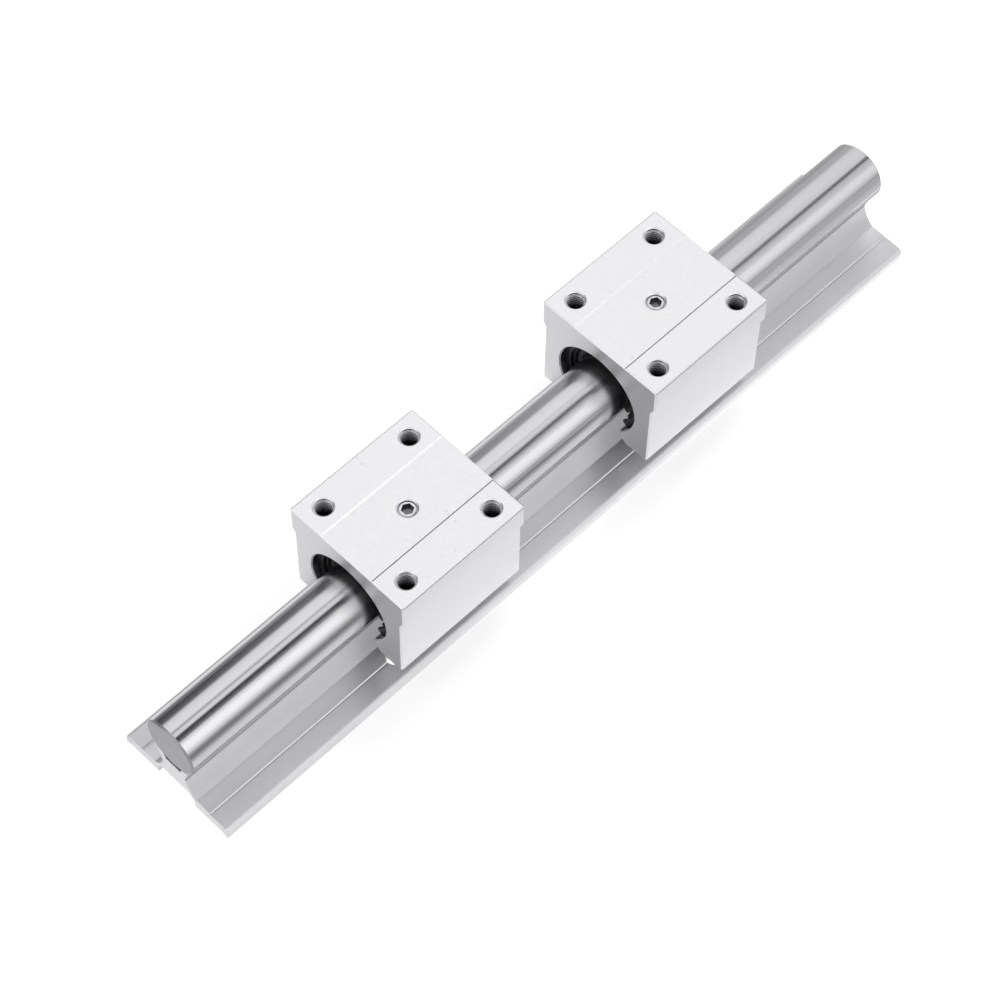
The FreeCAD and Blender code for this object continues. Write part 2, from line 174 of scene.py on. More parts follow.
class RailBlockSizes(bpy.types.PropertyGroup):
    """Sizes of a bearing block"""

    width: distance("Width", "Width over the shoulders", BLOCK_SIZE.x)
    length: distance("Length", "Length along the rail", BLOCK_SIZE.y)
    top: distance("Top", "Mounting face above the axis", 23.0 * MM)
    height: distance("Height", "Mounting face to the feet", BLOCK_SIZE.z)
    shoulder_height: distance("Shoulder height", "Full width below the top", 10.0 * MM)
    shoulder_slope: distance("Shoulder slope", "Height of the slope", 2.2 * MM)
    shoulder_inset: distance("Shoulder inset", "How far the sides stand in", 1.3 * MM)
    strip_width: distance("Strip width", "Lowered strip on the top, with its slopes", 22.15 * MM)
    strip_depth: distance("Strip depth", "Depth of the strip", 0.4 * MM)
    strip_run: distance("Strip run", "Width of the slope on each side of the strip", 0.5 * MM)
    edge_chamfer: distance("Edge chamfer", "Chamfer on the outer edges", 0.5 * MM)
    burr: distance("Burr", "Line under the top's outer chamfer", 0.12 * MM)
    opening_angle: degrees("Opening angle", "Half of the opening", 40.0)
    bore_radius: distance("Bore radius", "Radius of the bore", 16.0 * MM)
    bore_chamfer: distance("Bore chamfer", "Chamfer at the bore's mouth", 0.4 * MM)
    groove_depth: distance("Groove depth", "Depth of a snap ring's groove", 0.85 * MM)
    groove_room: distance("Groove room", "How much wider than its ring a groove is", 0.1 * MM)
    tap_spacing: distance("Tap spacing", "Between the tapped holes", 35.0 * MM)
    tap_radius: distance("Tap radius", "Outer radius of the thread", 3.0 * MM)
    tap_depth: distance("Tap depth", "Depth of a tapped hole", 12.0 * MM)
    tap_point: distance("Tap point", "Height of the cone that the drill leaves", 1.5 * MM)
    tap_chamfer: distance("Tap chamfer", "Countersink of a tapped hole", 0.5 * MM)
    thread_pitch: distance("Thread pitch", "Pitch of the thread", 1.0 * MM)
    thread_ridge: distance("Thread ridge", "Size of a thread's ridge", 0.42 * MM)
    thread_inset: distance("Thread inset", "How far in from the wall a ridge is wound", 0.1 * MM)


class RailBushingSizes(bpy.types.PropertyGroup):
    """Sizes of an open ball bushing, its seals and its snap rings"""

    sleeve_wall: distance("Sleeve wall", "Thickness of the steel sleeve", 1.4 * MM)
    sleeve_edge: distance("Sleeve edge", "Chamfer on a sleeve's edges", 0.25 * MM)
    sleeve_opening: degrees("Sleeve opening", "Half of the sleeve's opening", 41.0)
    retainer_gap: distance("Retainer gap", "Between the shaft and the retainer", 0.35 * MM)
    retainer_edge: distance("Retainer edge", "Chamfer on a retainer's edges", 0.2 * MM)
    retainer_opening: degrees("Retainer opening", "Half of the retainer's opening", 44.0)
    fit: distance("Fit", "Gap of a retainer or seal in the sleeve", 0.05 * MM)
    seal_opening: degrees("Seal opening", "Half of a seal's opening", 50.0)
    ring_width: distance("Ring width", "Width of a snap ring's band", 2.8 * MM)
    ring_edge: distance("Ring edge", "Chamfer on a snap ring's edges", 0.15 * MM)
    ring_opening: degrees("Ring opening", "Half of a snap ring's opening", 42.0)
    ball_radius: distance("Ball radius", "Radius of a load ball", 1.19 * MM)
    ball_gap: distance("Ball gap", "Between a load ball and the shaft", 0.02 * MM)
    ball_pitch: distance("Ball pitch", "From ball to ball along a row", 2.5 * MM)
    ball_opening: degrees("Ball opening", "From straight down to the first row", 62.0)


class RailColours(bpy.types.PropertyGroup):
    """Colours of the finishes"""

    chrome: colour("Hard chrome", "Shaft", "#D8D8DB")
    extrusion: colour("Extruded aluminium", "Support", "#E4E4E6")
    anodised: colour("Anodised aluminium", "Blocks", "#FAFAFC")
    black_plastic: colour("Moulded plastic", "Ball retainers", "#17171A")
    seal: colour("Nitrile rubber", "Seals", "#1C1C1F")
    spring_steel: colour("Phosphated spring steel", "Snap rings", "#3A3A3E")
    bearing_steel: colour("Bearing steel", "Sleeves and balls", "#77777C")
    screw_steel: colour("Plain steel", "Set screws", "#E2E2E6")
    black_steel: colour("Blackened steel", "Screws under the rail", "#3A3A3E")
    floor: colour("Floor", "Plain pale floor", "#F4F4F4")


# Nodes and finishes


def add(tree, kind, links=None, **settings):
    """A node with its settings, its values and its links. links maps an
    input's name or number to a value, to the socket that feeds it, or to a
    node whose first output feeds it."""
    made = tree.nodes.new(kind)
    for name, setting in settings.items():
        setattr(made, name, setting)
    for key, what in (links or {}).items():
        if isinstance(what, bpy.types.Node):
            what = what.outputs[0]
        if isinstance(what, bpy.types.NodeSocket):
            tree.links.new(what, made.inputs[key])
        else:
            made.inputs[key].default_value = what
    return made


def new_finish(name):
    """An empty material, its tree, and the place on the piece."""
    made = bpy.data.materials.new(name)
    made.use_nodes = True
    made.node_tree.nodes.clear()
    place = add(made.node_tree, "ShaderNodeTexCoord").outputs["Object"]
    return made, made.node_tree, place


def rgba(rgb):
    """A colour with full alpha."""
    return (*rgb, 1.0)


WHITE = (1.0, 1.0, 1.0, 1.0)


def draw_curve(made, points):
    """Draws a Float Curve node's smooth line through points of (input,
    output), with the inputs from the first to the last as 0 to 1."""
    low, high = points[0][0], points[-1][0]
    spots = [((at - low) / (high - low), level) for at, level in points]
    made.mapping.use_clip = False
    curve = made.mapping.curves[0]
    curve.points[0].location = spots[0]
    curve.points[1].location = spots[-1]
    for spot in spots[1:-1]:
        curve.points.new(*spot)
    for point in curve.points:
        point.handle_type = "AUTO_CLAMPED"
    made.mapping.update()
    return made


def uneven(tree, place, scale, low, high, detail=3.0, **values):
    """A noise, and a value that it moves between two levels. Nearly all of a
    noise lies from 0.3 to 0.7."""
    noise = add(tree, "ShaderNodeTexNoise", {"Vector": place, "Scale": scale, "Detail": detail, **values})
    level = add(tree, "ShaderNodeMapRange", {
        "Value": noise, "From Min": 0.3, "From Max": 0.7, "To Min": low, "To Max": high})
    return noise, level


def end_finish(tree, values, height=None, strength=0.0, depth=0.0):
    """Ends a material in a shader with these values, over the dents that a
    pattern gives, of a depth in metres."""
    if height is not None:
        dents = add(tree, "ShaderNodeBump", {"Height": height, "Strength": strength, "Distance": depth})
        values = {**values, "Normal": dents}
    shader = add(tree, "ShaderNodeBsdfPrincipled", values)
    add(tree, "ShaderNodeOutputMaterial", {"Surface": shader})


def hard_chrome(colours):
    """Hard chrome over ground steel: a bright mirror whose reflections are
    crisp across the shaft and smeared along it, because the grinding wheel's
    marks run round it."""
    made, tree, place = new_finish("hard_chromed_ground_steel")
    # Real marks are some 2 micrometres apart, so these are drawn at 0.12 mm.
    rings = add(tree, "ShaderNodeMapping", {"Vector": place, "Scale": (40.0, 8000.0, 40.0)})
    marks, rough = uneven(tree, rings, 1.0, 0.14, 0.19, 2.0)
    along = add(tree, "ShaderNodeCombineXYZ", {"Y": 1.0})
    end_finish(tree, {
        "Base Color": rgba(colours.chrome), "Metallic": 1.0, "Roughness": rough,
        "Anisotropic": 0.95, "Tangent": along}, marks, 0.02, 0.02 * MM)
    return made


def cut_steel():
    """The shaft's cut ends: bare steel, dull and a little blotchy, with arcs
    left by the cutting disc."""
    made, tree, place = new_finish("disc_cut_steel")
    # The disc's arcs are a few tenths of a millimetre apart.
    turned = add(tree, "ShaderNodeMapping", {"Vector": place, "Location": (0.06, 0.0, 0.0)})
    arcs = add(tree, "ShaderNodeTexWave", {
        "Vector": turned, "Scale": 1400.0, "Distortion": 1.5, "Detail": 2.0},
        wave_type="RINGS", rings_direction="Y")
    blotch = add(tree, "ShaderNodeTexNoise", {"Vector": place, "Scale": 180.0, "Detail": 3.0})
    tone = add(tree, "ShaderNodeMix", {
        "Factor": blotch, "A": rgba(linear("#9C9CA0")), "B": rgba(linear("#B2B2B6"))}, data_type="RGBA")
    end_finish(
        tree, {"Base Color": tone.outputs["Result"], "Metallic": 1.0, "Roughness": 0.42},
        arcs.outputs["Fac"], 0.12, 0.03 * MM)
    return made


# Painted light and shade on the extruded skin by height above the underside, in millimetres: painted shade
# in the root of the web, a painted lift higher up the web, and a fine line of painted shade along its neck,
# where the shaft shades it.
PAINTED_SHADE_BY_HEIGHT = (
    (0.0, 1.0), (4.9, 1.0), (5.3, 0.86), (6.2, 0.88), (8.0, 1.02), (10.0, 1.12), (11.2, 1.16),
    (12.2, 0.98), (12.8, 0.42), (13.6, 0.4), (14.3, 0.8), (15.0, 1.0), (20.0, 1.0))
# Painted light and shade in the same way by the way across, which tells on the flanges: lighter on the inner
# flange and at the outer round.
PAINTED_SHADE_ACROSS = (
    (0.0, 1.0), (9.1, 1.0), (9.7, 1.12), (12.0, 1.08), (15.0, 0.98), (21.0, 0.96), (22.4, 1.14),
    (24.0, 1.14))


def extruded_aluminium(colours):
    """Aluminium as extruded and clear anodised: matte, with fine die lines
    that run the length of the rail and smear what it mirrors across them."""
    made, tree, place = new_finish("extruded_anodised_aluminium")
    # Die lines are about 0.2 mm apart across the section and very long.
    stretched = add(tree, "ShaderNodeMapping", {"Vector": place, "Scale": (5000.0, 12.0, 5000.0)})
    lines, rough = uneven(tree, stretched, 1.0, 0.36, 0.44)
    tone = uneven(tree, place, 60.0, 0.95, 1.0, 4.0)[1]
    spot = add(tree, "ShaderNodeSeparateXYZ", {0: place})
    aside = add(tree, "ShaderNodeMath", {0: spot.outputs["X"]}, operation="ABSOLUTE")
    # Both curves paint light and shade into the skin's tone, by height and by the way across.
    for way, points in ((spot.outputs["Z"], PAINTED_SHADE_BY_HEIGHT), (aside, PAINTED_SHADE_ACROSS)):
        share = add(tree, "ShaderNodeMath", {0: way, 1: points[-1][0] * MM}, operation="DIVIDE")
        level = draw_curve(add(tree, "ShaderNodeFloatCurve", {"Value": share}), points)
        tone = add(tree, "ShaderNodeMath", {0: tone, 1: level}, operation="MULTIPLY")
    tint = add(tree, "ShaderNodeVectorMath", {0: tuple(colours.extrusion), "Scale": tone}, operation="SCALE")
    along = add(tree, "ShaderNodeCombineXYZ", {"Y": 1.0})
    end_finish(tree, {
        "Base Color": tint, "Metallic": 0.8, "Roughness": rough, "Anisotropic": 0.75,
        "Anisotropic Rotation": 0.25, "Tangent": along}, lines, 0.12, 0.04 * MM)
    return made


def sawn_aluminium(name, hex_code, roughness):
    """A sawn and lightly milled end: fine parallel tooth marks, a little
    brighter than the extruded skin."""
    made, tree, place = new_finish(name)
    # Tooth marks lie about 0.3 mm apart and lean, as a circular saw leaves them.
    leaning = add(tree, "ShaderNodeMapping", {
        "Vector": place, "Rotation": (0.0, 0.35, 0.0), "Location": (0.25, 0.0, 0.0)})
    marks = add(tree, "ShaderNodeTexWave", {
        "Vector": leaning, "Scale": 900.0, "Distortion": 2.5, "Detail": 3.0},
        wave_type="RINGS", rings_direction="Y")
    grain = add(tree, "ShaderNodeTexNoise", {"Vector": place, "Scale": 1500.0, "Detail": 3.0})
    height = add(tree, "ShaderNodeMath", {0: marks.outputs["Fac"], 1: grain}, operation="ADD")
    end_finish(
        tree, {"Base Color": rgba(linear(hex_code)), "Metallic": 1.0, "Roughness": roughness},
        height, 0.1, 0.04 * MM)
    return made


def blasted_aluminium(colours):
    """Fine blasted and clear anodised aluminium: almost white, with a silky
    grain and a few faint grey specks."""
    made, tree, place = new_finish("blasted_anodised_aluminium")
    # Blasting grit leaves dents of about 0.1 mm, drawn at 0.5 mm to show.
    grit, rough = uneven(tree, place, 1400.0, 0.32, 0.44, Roughness=0.6)
    dull = add(tree, "ShaderNodeMapRange", {
        "Value": grit, "From Min": 0.3, "From Max": 0.7, "To Min": 0.0, "To Max": 0.07})
    # Specks lie about 2 mm apart, and only some patches of the skin have them.
    specks = add(tree, "ShaderNodeTexVoronoi", {"Vector": place, "Scale": 420.0, "Randomness": 1.0})
    patches = add(tree, "ShaderNodeTexNoise", {"Vector": place, "Scale": 130.0, "Detail": 2.0})
    near = add(tree, "ShaderNodeMapRange", {
        "Value": specks, "From Min": 0.08, "From Max": 0.2, "To Min": 1.0, "To Max": 0.0})
    some = add(tree, "ShaderNodeMapRange", {
        "Value": patches, "From Min": 0.55, "From Max": 0.7, "To Min": 0.0, "To Max": 0.28})
    mark = add(tree, "ShaderNodeMath", {0: near, 1: some}, operation="MULTIPLY")
    mark = add(tree, "ShaderNodeMath", {0: mark, 1: dull}, operation="ADD")
    tone = add(tree, "ShaderNodeMix", {
        "Factor": mark, "A": rgba(colours.anodised), "B": rgba(linear("#A4A4A8"))}, data_type="RGBA")
    end_finish(
        tree, {"Base Color": tone.outputs["Result"], "Metallic": 0.85, "Roughness": rough},
        grit, 0.18, 0.05 * MM)
    return made


def milled_edge():
    """Chamfers and the strip's left slope, milled after blasting: a brighter
    and glossier line than the faces beside them."""
    made, tree, place = new_finish("milled_bright_edge")
    # Cutter marks of 0.2 mm, drawn at 0.5 mm to show.
    rough = uneven(tree, place, 2000.0, 0.22, 0.32, 2.0)[1]
    end_finish(tree, {"Base Color": rgba(linear("#ECECEE")), "Metallic": 1.0, "Roughness": rough})
    return made


def machined_steel(name, rgb, roughness, metallic=1.0):
    """Turned, ground or pressed metal: grey, with a fine uneven grain."""
    made, tree, place = new_finish(name)
    # Tool marks of 0.1 mm, drawn at 0.3 mm to show.
    grain, rough = uneven(tree, place, 3000.0, roughness * 0.85, roughness * 1.15)
    end_finish(
        tree, {"Base Color": rgba(rgb), "Metallic": metallic, "Roughness": rough}, grain, 0.1, 0.03 * MM)
    return made


def tapped_aluminium(top):
    """Bare thread flanks: bright at the mouth, and darker from 7 mm down the hole, as painted shade in the
    depth of the hole."""
    made, tree, place = new_finish("tapped_aluminium")
    spot = add(tree, "ShaderNodeSeparateXYZ", {0: place})
    # Painted shade: dark at 7 mm down the hole, full tone from 1 mm down.
    above_painted_shade = add(tree, "ShaderNodeMapRange", {
        "Value": spot.outputs["Z"], "From Min": top - 7.0 * MM, "From Max": top - 1.0 * MM})
    tone = add(tree, "ShaderNodeMix", {
        "Factor": above_painted_shade, "A": rgba(linear("#1C1C1E")), "B": rgba(linear("#E6E6EA"))}, data_type="RGBA")
    grain = add(tree, "ShaderNodeTexNoise", {"Vector": place, "Scale": 3000.0, "Detail": 3.0})
    end_finish(
        tree, {"Base Color": tone.outputs["Result"], "Metallic": 1.0, "Roughness": 0.13},
        grain, 0.1, 0.03 * MM)
    return made


def black_polymer(name, rgb, roughness, grain_size):
    """Black plastic or rubber, satin, with the fine grain of its mould."""
    made, tree, place = new_finish(name)
    grain, rough = uneven(tree, place, 1.0 / grain_size, roughness * 0.85, roughness * 1.15)
    end_finish(tree, {"Base Color": rgba(rgb), "Roughness": rough}, grain, 0.15, 0.04 * MM)
    return made


FINISHES = {}


def finish(name):
    """The finish of that name, made once."""
    colours = bpy.context.scene.rail_colours
    if not FINISHES:
        FINISHES.update({
            "chrome": hard_chrome(colours),
            "cut_steel": cut_steel(),
            "extrusion": extruded_aluminium(colours),
            "extrusion_end": sawn_aluminium("sawn_extrusion_end", "#E4E4E6", 0.38),
            "anodised": blasted_aluminium(colours),
            "block_end": sawn_aluminium("sawn_block_end", "#E4E4E6", 0.44),
            "edge": milled_edge(),
            # Painted shade: the bore takes a grey far darker than bare aluminium, for the shade inside it.
            "bored": machined_steel("bored_aluminium", linear("#76767A"), 0.24),
            # Painted shade: the strip's right slope and the burr take this dark grey, which draws a shadow
            # line.
            "shaded": machined_steel("oily_aluminium_slope", linear("#808084"), 0.3),
            "tapped": tapped_aluminium(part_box("front_housing")[1].z),
            "sleeve": machined_steel("ground_bearing_steel", colours.bearing_steel, 0.28),
            "balls": machined_steel("lapped_ball_steel", colours.bearing_steel, 0.08),
            "retainer": black_polymer("moulded_black_plastic", colours.black_plastic, 0.42, 0.3 * MM),
            "seal": black_polymer("black_nitrile_rubber", colours.seal, 0.55, 0.2 * MM),
            "snap_ring": machined_steel("phosphated_spring_steel", colours.spring_steel, 0.4, 0.8),
            "set_screw": machined_steel("plain_turned_steel", colours.screw_steel, 0.25),
            "cap_screw": machined_steel("blackened_steel", colours.black_steel, 0.38, 0.9),
        })
    return FINISHES[name]


# Meshes


def link(name, data):
    """A new object in the scene, with its mesh, light or camera."""
    made = bpy.data.objects.new(name, data)
    bpy.context.scene.collection.objects.link(made)
    return made


def as_object(name, bm):
    """A new object from a bmesh as it is."""
    mesh = bpy.data.meshes.new(name)
    bm.to_mesh(mesh)
    bm.free()
    return link(name, mesh)


def from_bmesh(name, bm, *finishes):
    """A new piece from a bmesh, with its finishes as material slots."""
    bmesh.ops.remove_doubles(bm, verts=bm.verts, dist=JOINED)
    bmesh.ops.recalc_face_normals(bm, faces=bm.faces)
    made = as_object(name, bm)
    for each in finishes:
        made.data.materials.append(finish(each))
    return made


def plain(made):
    """Replaces an object's mesh by what its modifiers make of it."""
    graph = bpy.context.evaluated_depsgraph_get()
    mesh = bpy.data.meshes.new_from_object(made.evaluated_get(graph))
    mesh.name = made.name
    made.modifiers.clear()
    made.data = mesh
    return made


def smooth(made, angle=30.0):
    """Smooth shading that keeps edges over an angle and flat faces flat."""
    made.data.shade_smooth()
    made.data.set_sharp_from_angle(angle=math.radians(angle))
    weighted = made.modifiers.new("weighted", "WEIGHTED_NORMAL")
    weighted.keep_sharp = True
    return plain(made)


def arc(centre, radius, start, stop, step=4.0):
    """Points along an arc. Angles are in degrees from +X towards +Z."""
    count = max(2, round(abs(stop - start) / step))
    turns = [math.radians(start + (stop - start) * i / count) for i in range(count + 1)]
    return [(centre[0] + radius * math.cos(t), centre[1] + radius * math.sin(t)) for t in turns]


def arc_between(first, last, radius, side):
    """Points along the arc of a radius from one point to another. Side 1 has
    the centre on the left of the way."""
    a, b = Vector(first), Vector(last)
    across = Vector((a.y - b.y, b.x - a.x)).normalized()
    centre = (a + b) / 2 + across * side * math.sqrt(radius ** 2 - (b - a).length_squared / 4)
    start = math.degrees(math.atan2(a.y - centre.y, a.x - centre.x))
    stop = math.degrees(math.atan2(b.y - centre.y, b.x - centre.x))
    if side > 0 and stop < start:
        stop += 360
    if side < 0 and stop > start:
        stop -= 360
    return arc(centre, radius, start, stop)


def both_sides(half):
    """A closed outline from its right half, without doubled points."""
    mirrored = [(-x, z) for x, z in reversed(half)]
    points = []
    for point in half + mirrored:
        if not points or (Vector(point) - Vector(points[-1])).length > JOINED:
            points.append(point)
    if (Vector(points[0]) - Vector(points[-1])).length < JOINED:
        points.pop()
    return points


def extrude_outline(points, low, high):
    """A bmesh of an outline in XZ carried along Y."""
    bm = bmesh.new()
    near = [bm.verts.new((x, low, z)) for x, z in points]
    far = [bm.verts.new((x, high, z)) for x, z in points]
    bm.faces.new(near)
    bm.faces.new(list(reversed(far)))
    for i, start in enumerate(near):
        j = (i + 1) % len(near)
        bm.faces.new((start, far[i], far[j], near[j]))
    bmesh.ops.recalc_face_normals(bm, faces=bm.faces)
    return bm


def bevel_where(bm, width, wanted):
    """Bevels the edges of a bmesh that pass a test."""
    edges = [e for e in bm.edges if len(e.link_faces) == 2 and wanted(e)]
    bmesh.ops.bevel(bm, geom=edges, offset=width, segments=1, profile=0.5,
                    affect="EDGES", clamp_overlap=True)


def is_sharp(edge, angle=30.0):
    """Whether two faces meet at more than an angle."""
    return edge.calc_face_angle(0.0) > math.radians(angle)


def revolve(profile, segments, start=0.0, stop=360.0):
    """A bmesh of a closed profile of (radius, y) turned about the Y axis.
    Angles are in degrees from straight down towards +X."""
    bm = bmesh.new()
    whole = abs(stop - start) >= 360.0
    rings = []
    for i in range(segments if whole else segments + 1):
        turn = math.radians(start + (stop - start) * i / segments)
        rings.append([bm.verts.new((r * math.sin(turn), y, -r * math.cos(turn))) for r, y in profile])
    count = len(profile)
    for i in range(segments):
        a, b = rings[i], rings[(i + 1) % len(rings)]
        for j in range(count):
            k = (j + 1) % count
            corners = [a[j], a[k], b[k], b[j]]
            if profile[j][0] < JOINED and profile[k][0] < JOINED:
                continue
            if profile[j][0] < JOINED:
                corners = [a[j], a[k], b[k]]
            elif profile[k][0] < JOINED:
                corners = [a[j], a[k], b[j]]
            bm.faces.new(corners)
    if not whole:
        bm.faces.new(rings[0])
        bm.faces.new(list(reversed(rings[-1])))
    bmesh.ops.remove_doubles(bm, verts=bm.verts, dist=JOINED)
    bmesh.ops.recalc_face_normals(bm, faces=bm.faces)
    return bm


def upright_lathe(profile, segments):
    """A closed bmesh of a profile of (radius, z) turned about the Z axis."""
    bm = revolve(profile, segments)
    bmesh.ops.transform(bm, verts=bm.verts, matrix=Matrix.Rotation(math.radians(90), 4, "X"))
    return bm


def shift(bm, offset):
    """Moves a bmesh."""
    bmesh.ops.translate(bm, verts=bm.verts, vec=offset)
    return bm


def rounded_box_profile(inner, outer, low, high, edge):
    """A ring's section of (radius, y) with its corners broken."""
    return [
        (inner + edge, low), (outer - edge, low), (outer, low + edge), (outer, high - edge),
        (outer - edge, high), (inner + edge, high), (inner, high - edge), (inner, low + edge)]


def put(made, body, slot, *nodes):
    """Hangs a piece on its body, and hides the nodes that it stands for."""
    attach(made, body)
    if nodes:
        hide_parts(*nodes)


# Geometry Nodes trees


def new_tree(name, inputs):
    """A geometry tree with a geometry socket each way and named inputs of
    (name, socket type, default)."""
    tree = bpy.data.node_groups.new(name, "GeometryNodeTree")
    tree.interface.new_socket("Geometry", in_out="INPUT", socket_type="NodeSocketGeometry")
    for label, kind, default in inputs:
        socket = tree.interface.new_socket(label, in_out="INPUT", socket_type=kind)
        if default is not None:
            socket.default_value = default
    tree.interface.new_socket("Geometry", in_out="OUTPUT", socket_type="NodeSocketGeometry")
    return tree, tree.nodes.new("NodeGroupInput")


def apply_tree(made, tree, values):
    """Runs a tree on an object and keeps the result as a plain mesh."""
    modifier = made.modifiers.new(tree.name, "NODES")
    modifier.node_group = tree
    for item in tree.interface.items_tree:
        if item.item_type == "SOCKET" and item.in_out == "INPUT" and item.name in values:
            modifier[item.identifier] = values[item.name]
    return plain(made)


def pattern_tree():
    """Cuts a tool's shape out of a piece at each point of a grid."""
    tree, given = new_tree("cut_pattern", (
        ("Tool", "NodeSocketObject", None),
        ("Spacing X", "NodeSocketFloat", 0.03),
        ("Spacing Y", "NodeSocketFloat", 0.15),
        ("Count X", "NodeSocketInt", 2),
        ("Count Y", "NodeSocketInt", 2),
        ("Centre", "NodeSocketVector", (0.0, 0.0, 0.0)),
        ("Finish", "NodeSocketMaterial", None)))
    tool = add(tree, "GeometryNodeObjectInfo", {"Object": given.outputs["Tool"]})
    spans = []
    for axis in "XY":
        steps = add(tree, "ShaderNodeMath", {
            0: given.outputs["Count " + axis], 1: 1.0}, operation="SUBTRACT")
        spans.append(add(tree, "ShaderNodeMath", {
            0: steps, 1: given.outputs["Spacing " + axis]}, operation="MULTIPLY"))
    grid = add(tree, "GeometryNodeMeshGrid", {
        "Size X": spans[0], "Size Y": spans[1],
        "Vertices X": given.outputs["Count X"], "Vertices Y": given.outputs["Count Y"]})
    moved = add(tree, "GeometryNodeTransform", {
        "Geometry": grid.outputs["Mesh"], "Translation": given.outputs["Centre"]})
    tools = add(tree, "GeometryNodeInstanceOnPoints", {
        "Points": moved, "Instance": tool.outputs["Geometry"]})
    solid = add(tree, "GeometryNodeRealizeInstances", {"Geometry": tools})
    cut = add(tree, "GeometryNodeMeshBoolean", {
        "Mesh 1": given.outputs["Geometry"], "Mesh 2": solid},
        operation="DIFFERENCE", solver="EXACT")
    whole = add(tree, "GeometryNodeRealizeInstances", {"Geometry": cut.outputs["Mesh"]})
    dressed = add(tree, "GeometryNodeSetMaterial", {
        "Geometry": whole, "Material": given.outputs["Finish"]})
    add(tree, "NodeGroupOutput", {"Geometry": dressed})
    return tree


def thread_tree():
    """A thread's ridge wound down each hole of a square of holes."""
    tree, given = new_tree("thread_ridges", (
        ("Radius", "NodeSocketFloat", 0.003),
        ("Pitch", "NodeSocketFloat", 0.001),
        ("Turns", "NodeSocketFloat", 10.0),
        ("Ridge", "NodeSocketFloat", 0.00045),
        ("Spacing", "NodeSocketFloat", 0.035),
        ("Centre", "NodeSocketVector", (0.0, 0.0, 0.0)),
        ("Finish", "NodeSocketMaterial", None)))
    depth = add(tree, "ShaderNodeMath", {
        0: given.outputs["Pitch"], 1: given.outputs["Turns"]}, operation="MULTIPLY")
    coil = add(tree, "GeometryNodeCurveSpiral", {
        "Resolution": 40, "Rotations": given.outputs["Turns"],
        "Start Radius": given.outputs["Radius"], "End Radius": given.outputs["Radius"],
        "Height": depth})
    level = add(tree, "GeometryNodeSetCurveNormal", {"Curve": coil}, mode="Z_UP")
    wedge = add(tree, "GeometryNodeCurvePrimitiveCircle", {
        "Resolution": 3, "Radius": given.outputs["Ridge"]})
    turned = add(tree, "GeometryNodeTransform", {
        "Geometry": wedge.outputs["Curve"], "Rotation": (0.0, 0.0, math.pi)})
    ridge = add(tree, "GeometryNodeCurveToMesh", {
        "Curve": level, "Profile Curve": turned, "Fill Caps": True})
    grid = add(tree, "GeometryNodeMeshGrid", {
        "Size X": given.outputs["Spacing"], "Size Y": given.outputs["Spacing"],
        "Vertices X": 2, "Vertices Y": 2})
    moved = add(tree, "GeometryNodeTransform", {
        "Geometry": grid.outputs["Mesh"], "Translation": given.outputs["Centre"]})
    ridges = add(tree, "GeometryNodeInstanceOnPoints", {"Points": moved, "Instance": ridge})
    solid = add(tree, "GeometryNodeRealizeInstances", {"Geometry": ridges})
    dressed = add(tree, "GeometryNodeSetMaterial", {
        "Geometry": solid, "Material": given.outputs["Finish"]})
    add(tree, "NodeGroupOutput", {"Geometry": dressed})
    return tree


def ball_tree():
    """Rows of balls about the shaft, left out where the bushing is open."""
    tree, given = new_tree("ball_rows", (
        ("Ball Radius", "NodeSocketFloat", 0.0012),
        ("Row Radius", "NodeSocketFloat", 0.0112),
        ("Rows", "NodeSocketInt", 5),
        ("Start Angle", "NodeSocketFloat", 0.0),
        ("Sweep", "NodeSocketFloat", 4.0),
        ("Balls", "NodeSocketInt", 12),
        ("Spacing", "NodeSocketFloat", 0.0025),
        ("Centre", "NodeSocketVector", (0.0, 0.0, 0.0)),
        ("Finish", "NodeSocketMaterial", None)))
    ring = add(tree, "GeometryNodeCurveArc", {
        "Resolution": given.outputs["Rows"], "Radius": given.outputs["Row Radius"],
        "Start Angle": given.outputs["Start Angle"], "Sweep Angle": given.outputs["Sweep"]}, mode="RADIUS")
    upright = add(tree, "GeometryNodeTransform", {
        "Geometry": ring.outputs["Curve"], "Rotation": (math.pi / 2, 0.0, 0.0),
        "Translation": given.outputs["Centre"]})
    starts = add(tree, "GeometryNodeCurveToPoints", {"Curve": upright}, mode="EVALUATED")
    steps = add(tree, "ShaderNodeMath", {0: given.outputs["Balls"], 1: 1.0}, operation="SUBTRACT")
    span = add(tree, "ShaderNodeMath", {0: steps, 1: given.outputs["Spacing"]}, operation="MULTIPLY")
    back = add(tree, "ShaderNodeMath", {0: span, 1: -0.5}, operation="MULTIPLY")
    first = add(tree, "ShaderNodeCombineXYZ", {"Y": back})
    step = add(tree, "ShaderNodeCombineXYZ", {"Y": given.outputs["Spacing"]})
    row = add(tree, "GeometryNodeMeshLine", {
        "Count": given.outputs["Balls"], "Start Location": first, "Offset": step},
        mode="OFFSET")
    ball = add(tree, "GeometryNodeMeshIcoSphere", {
        "Radius": given.outputs["Ball Radius"], "Subdivisions": 2})
    balls = add(tree, "GeometryNodeInstanceOnPoints", {"Points": row, "Instance": ball.outputs["Mesh"]})
    rows = add(tree, "GeometryNodeInstanceOnPoints", {
        "Points": starts.outputs["Points"], "Instance": balls})
    solid = add(tree, "GeometryNodeRealizeInstances", {"Geometry": rows})
    smoothed = add(tree, "GeometryNodeSetShadeSmooth", {"Geometry": solid})
    dressed = add(tree, "GeometryNodeSetMaterial", {
        "Geometry": smoothed, "Material": given.outputs["Finish"]})
    add(tree, "NodeGroupOutput", {"Geometry": dressed})
    return tree


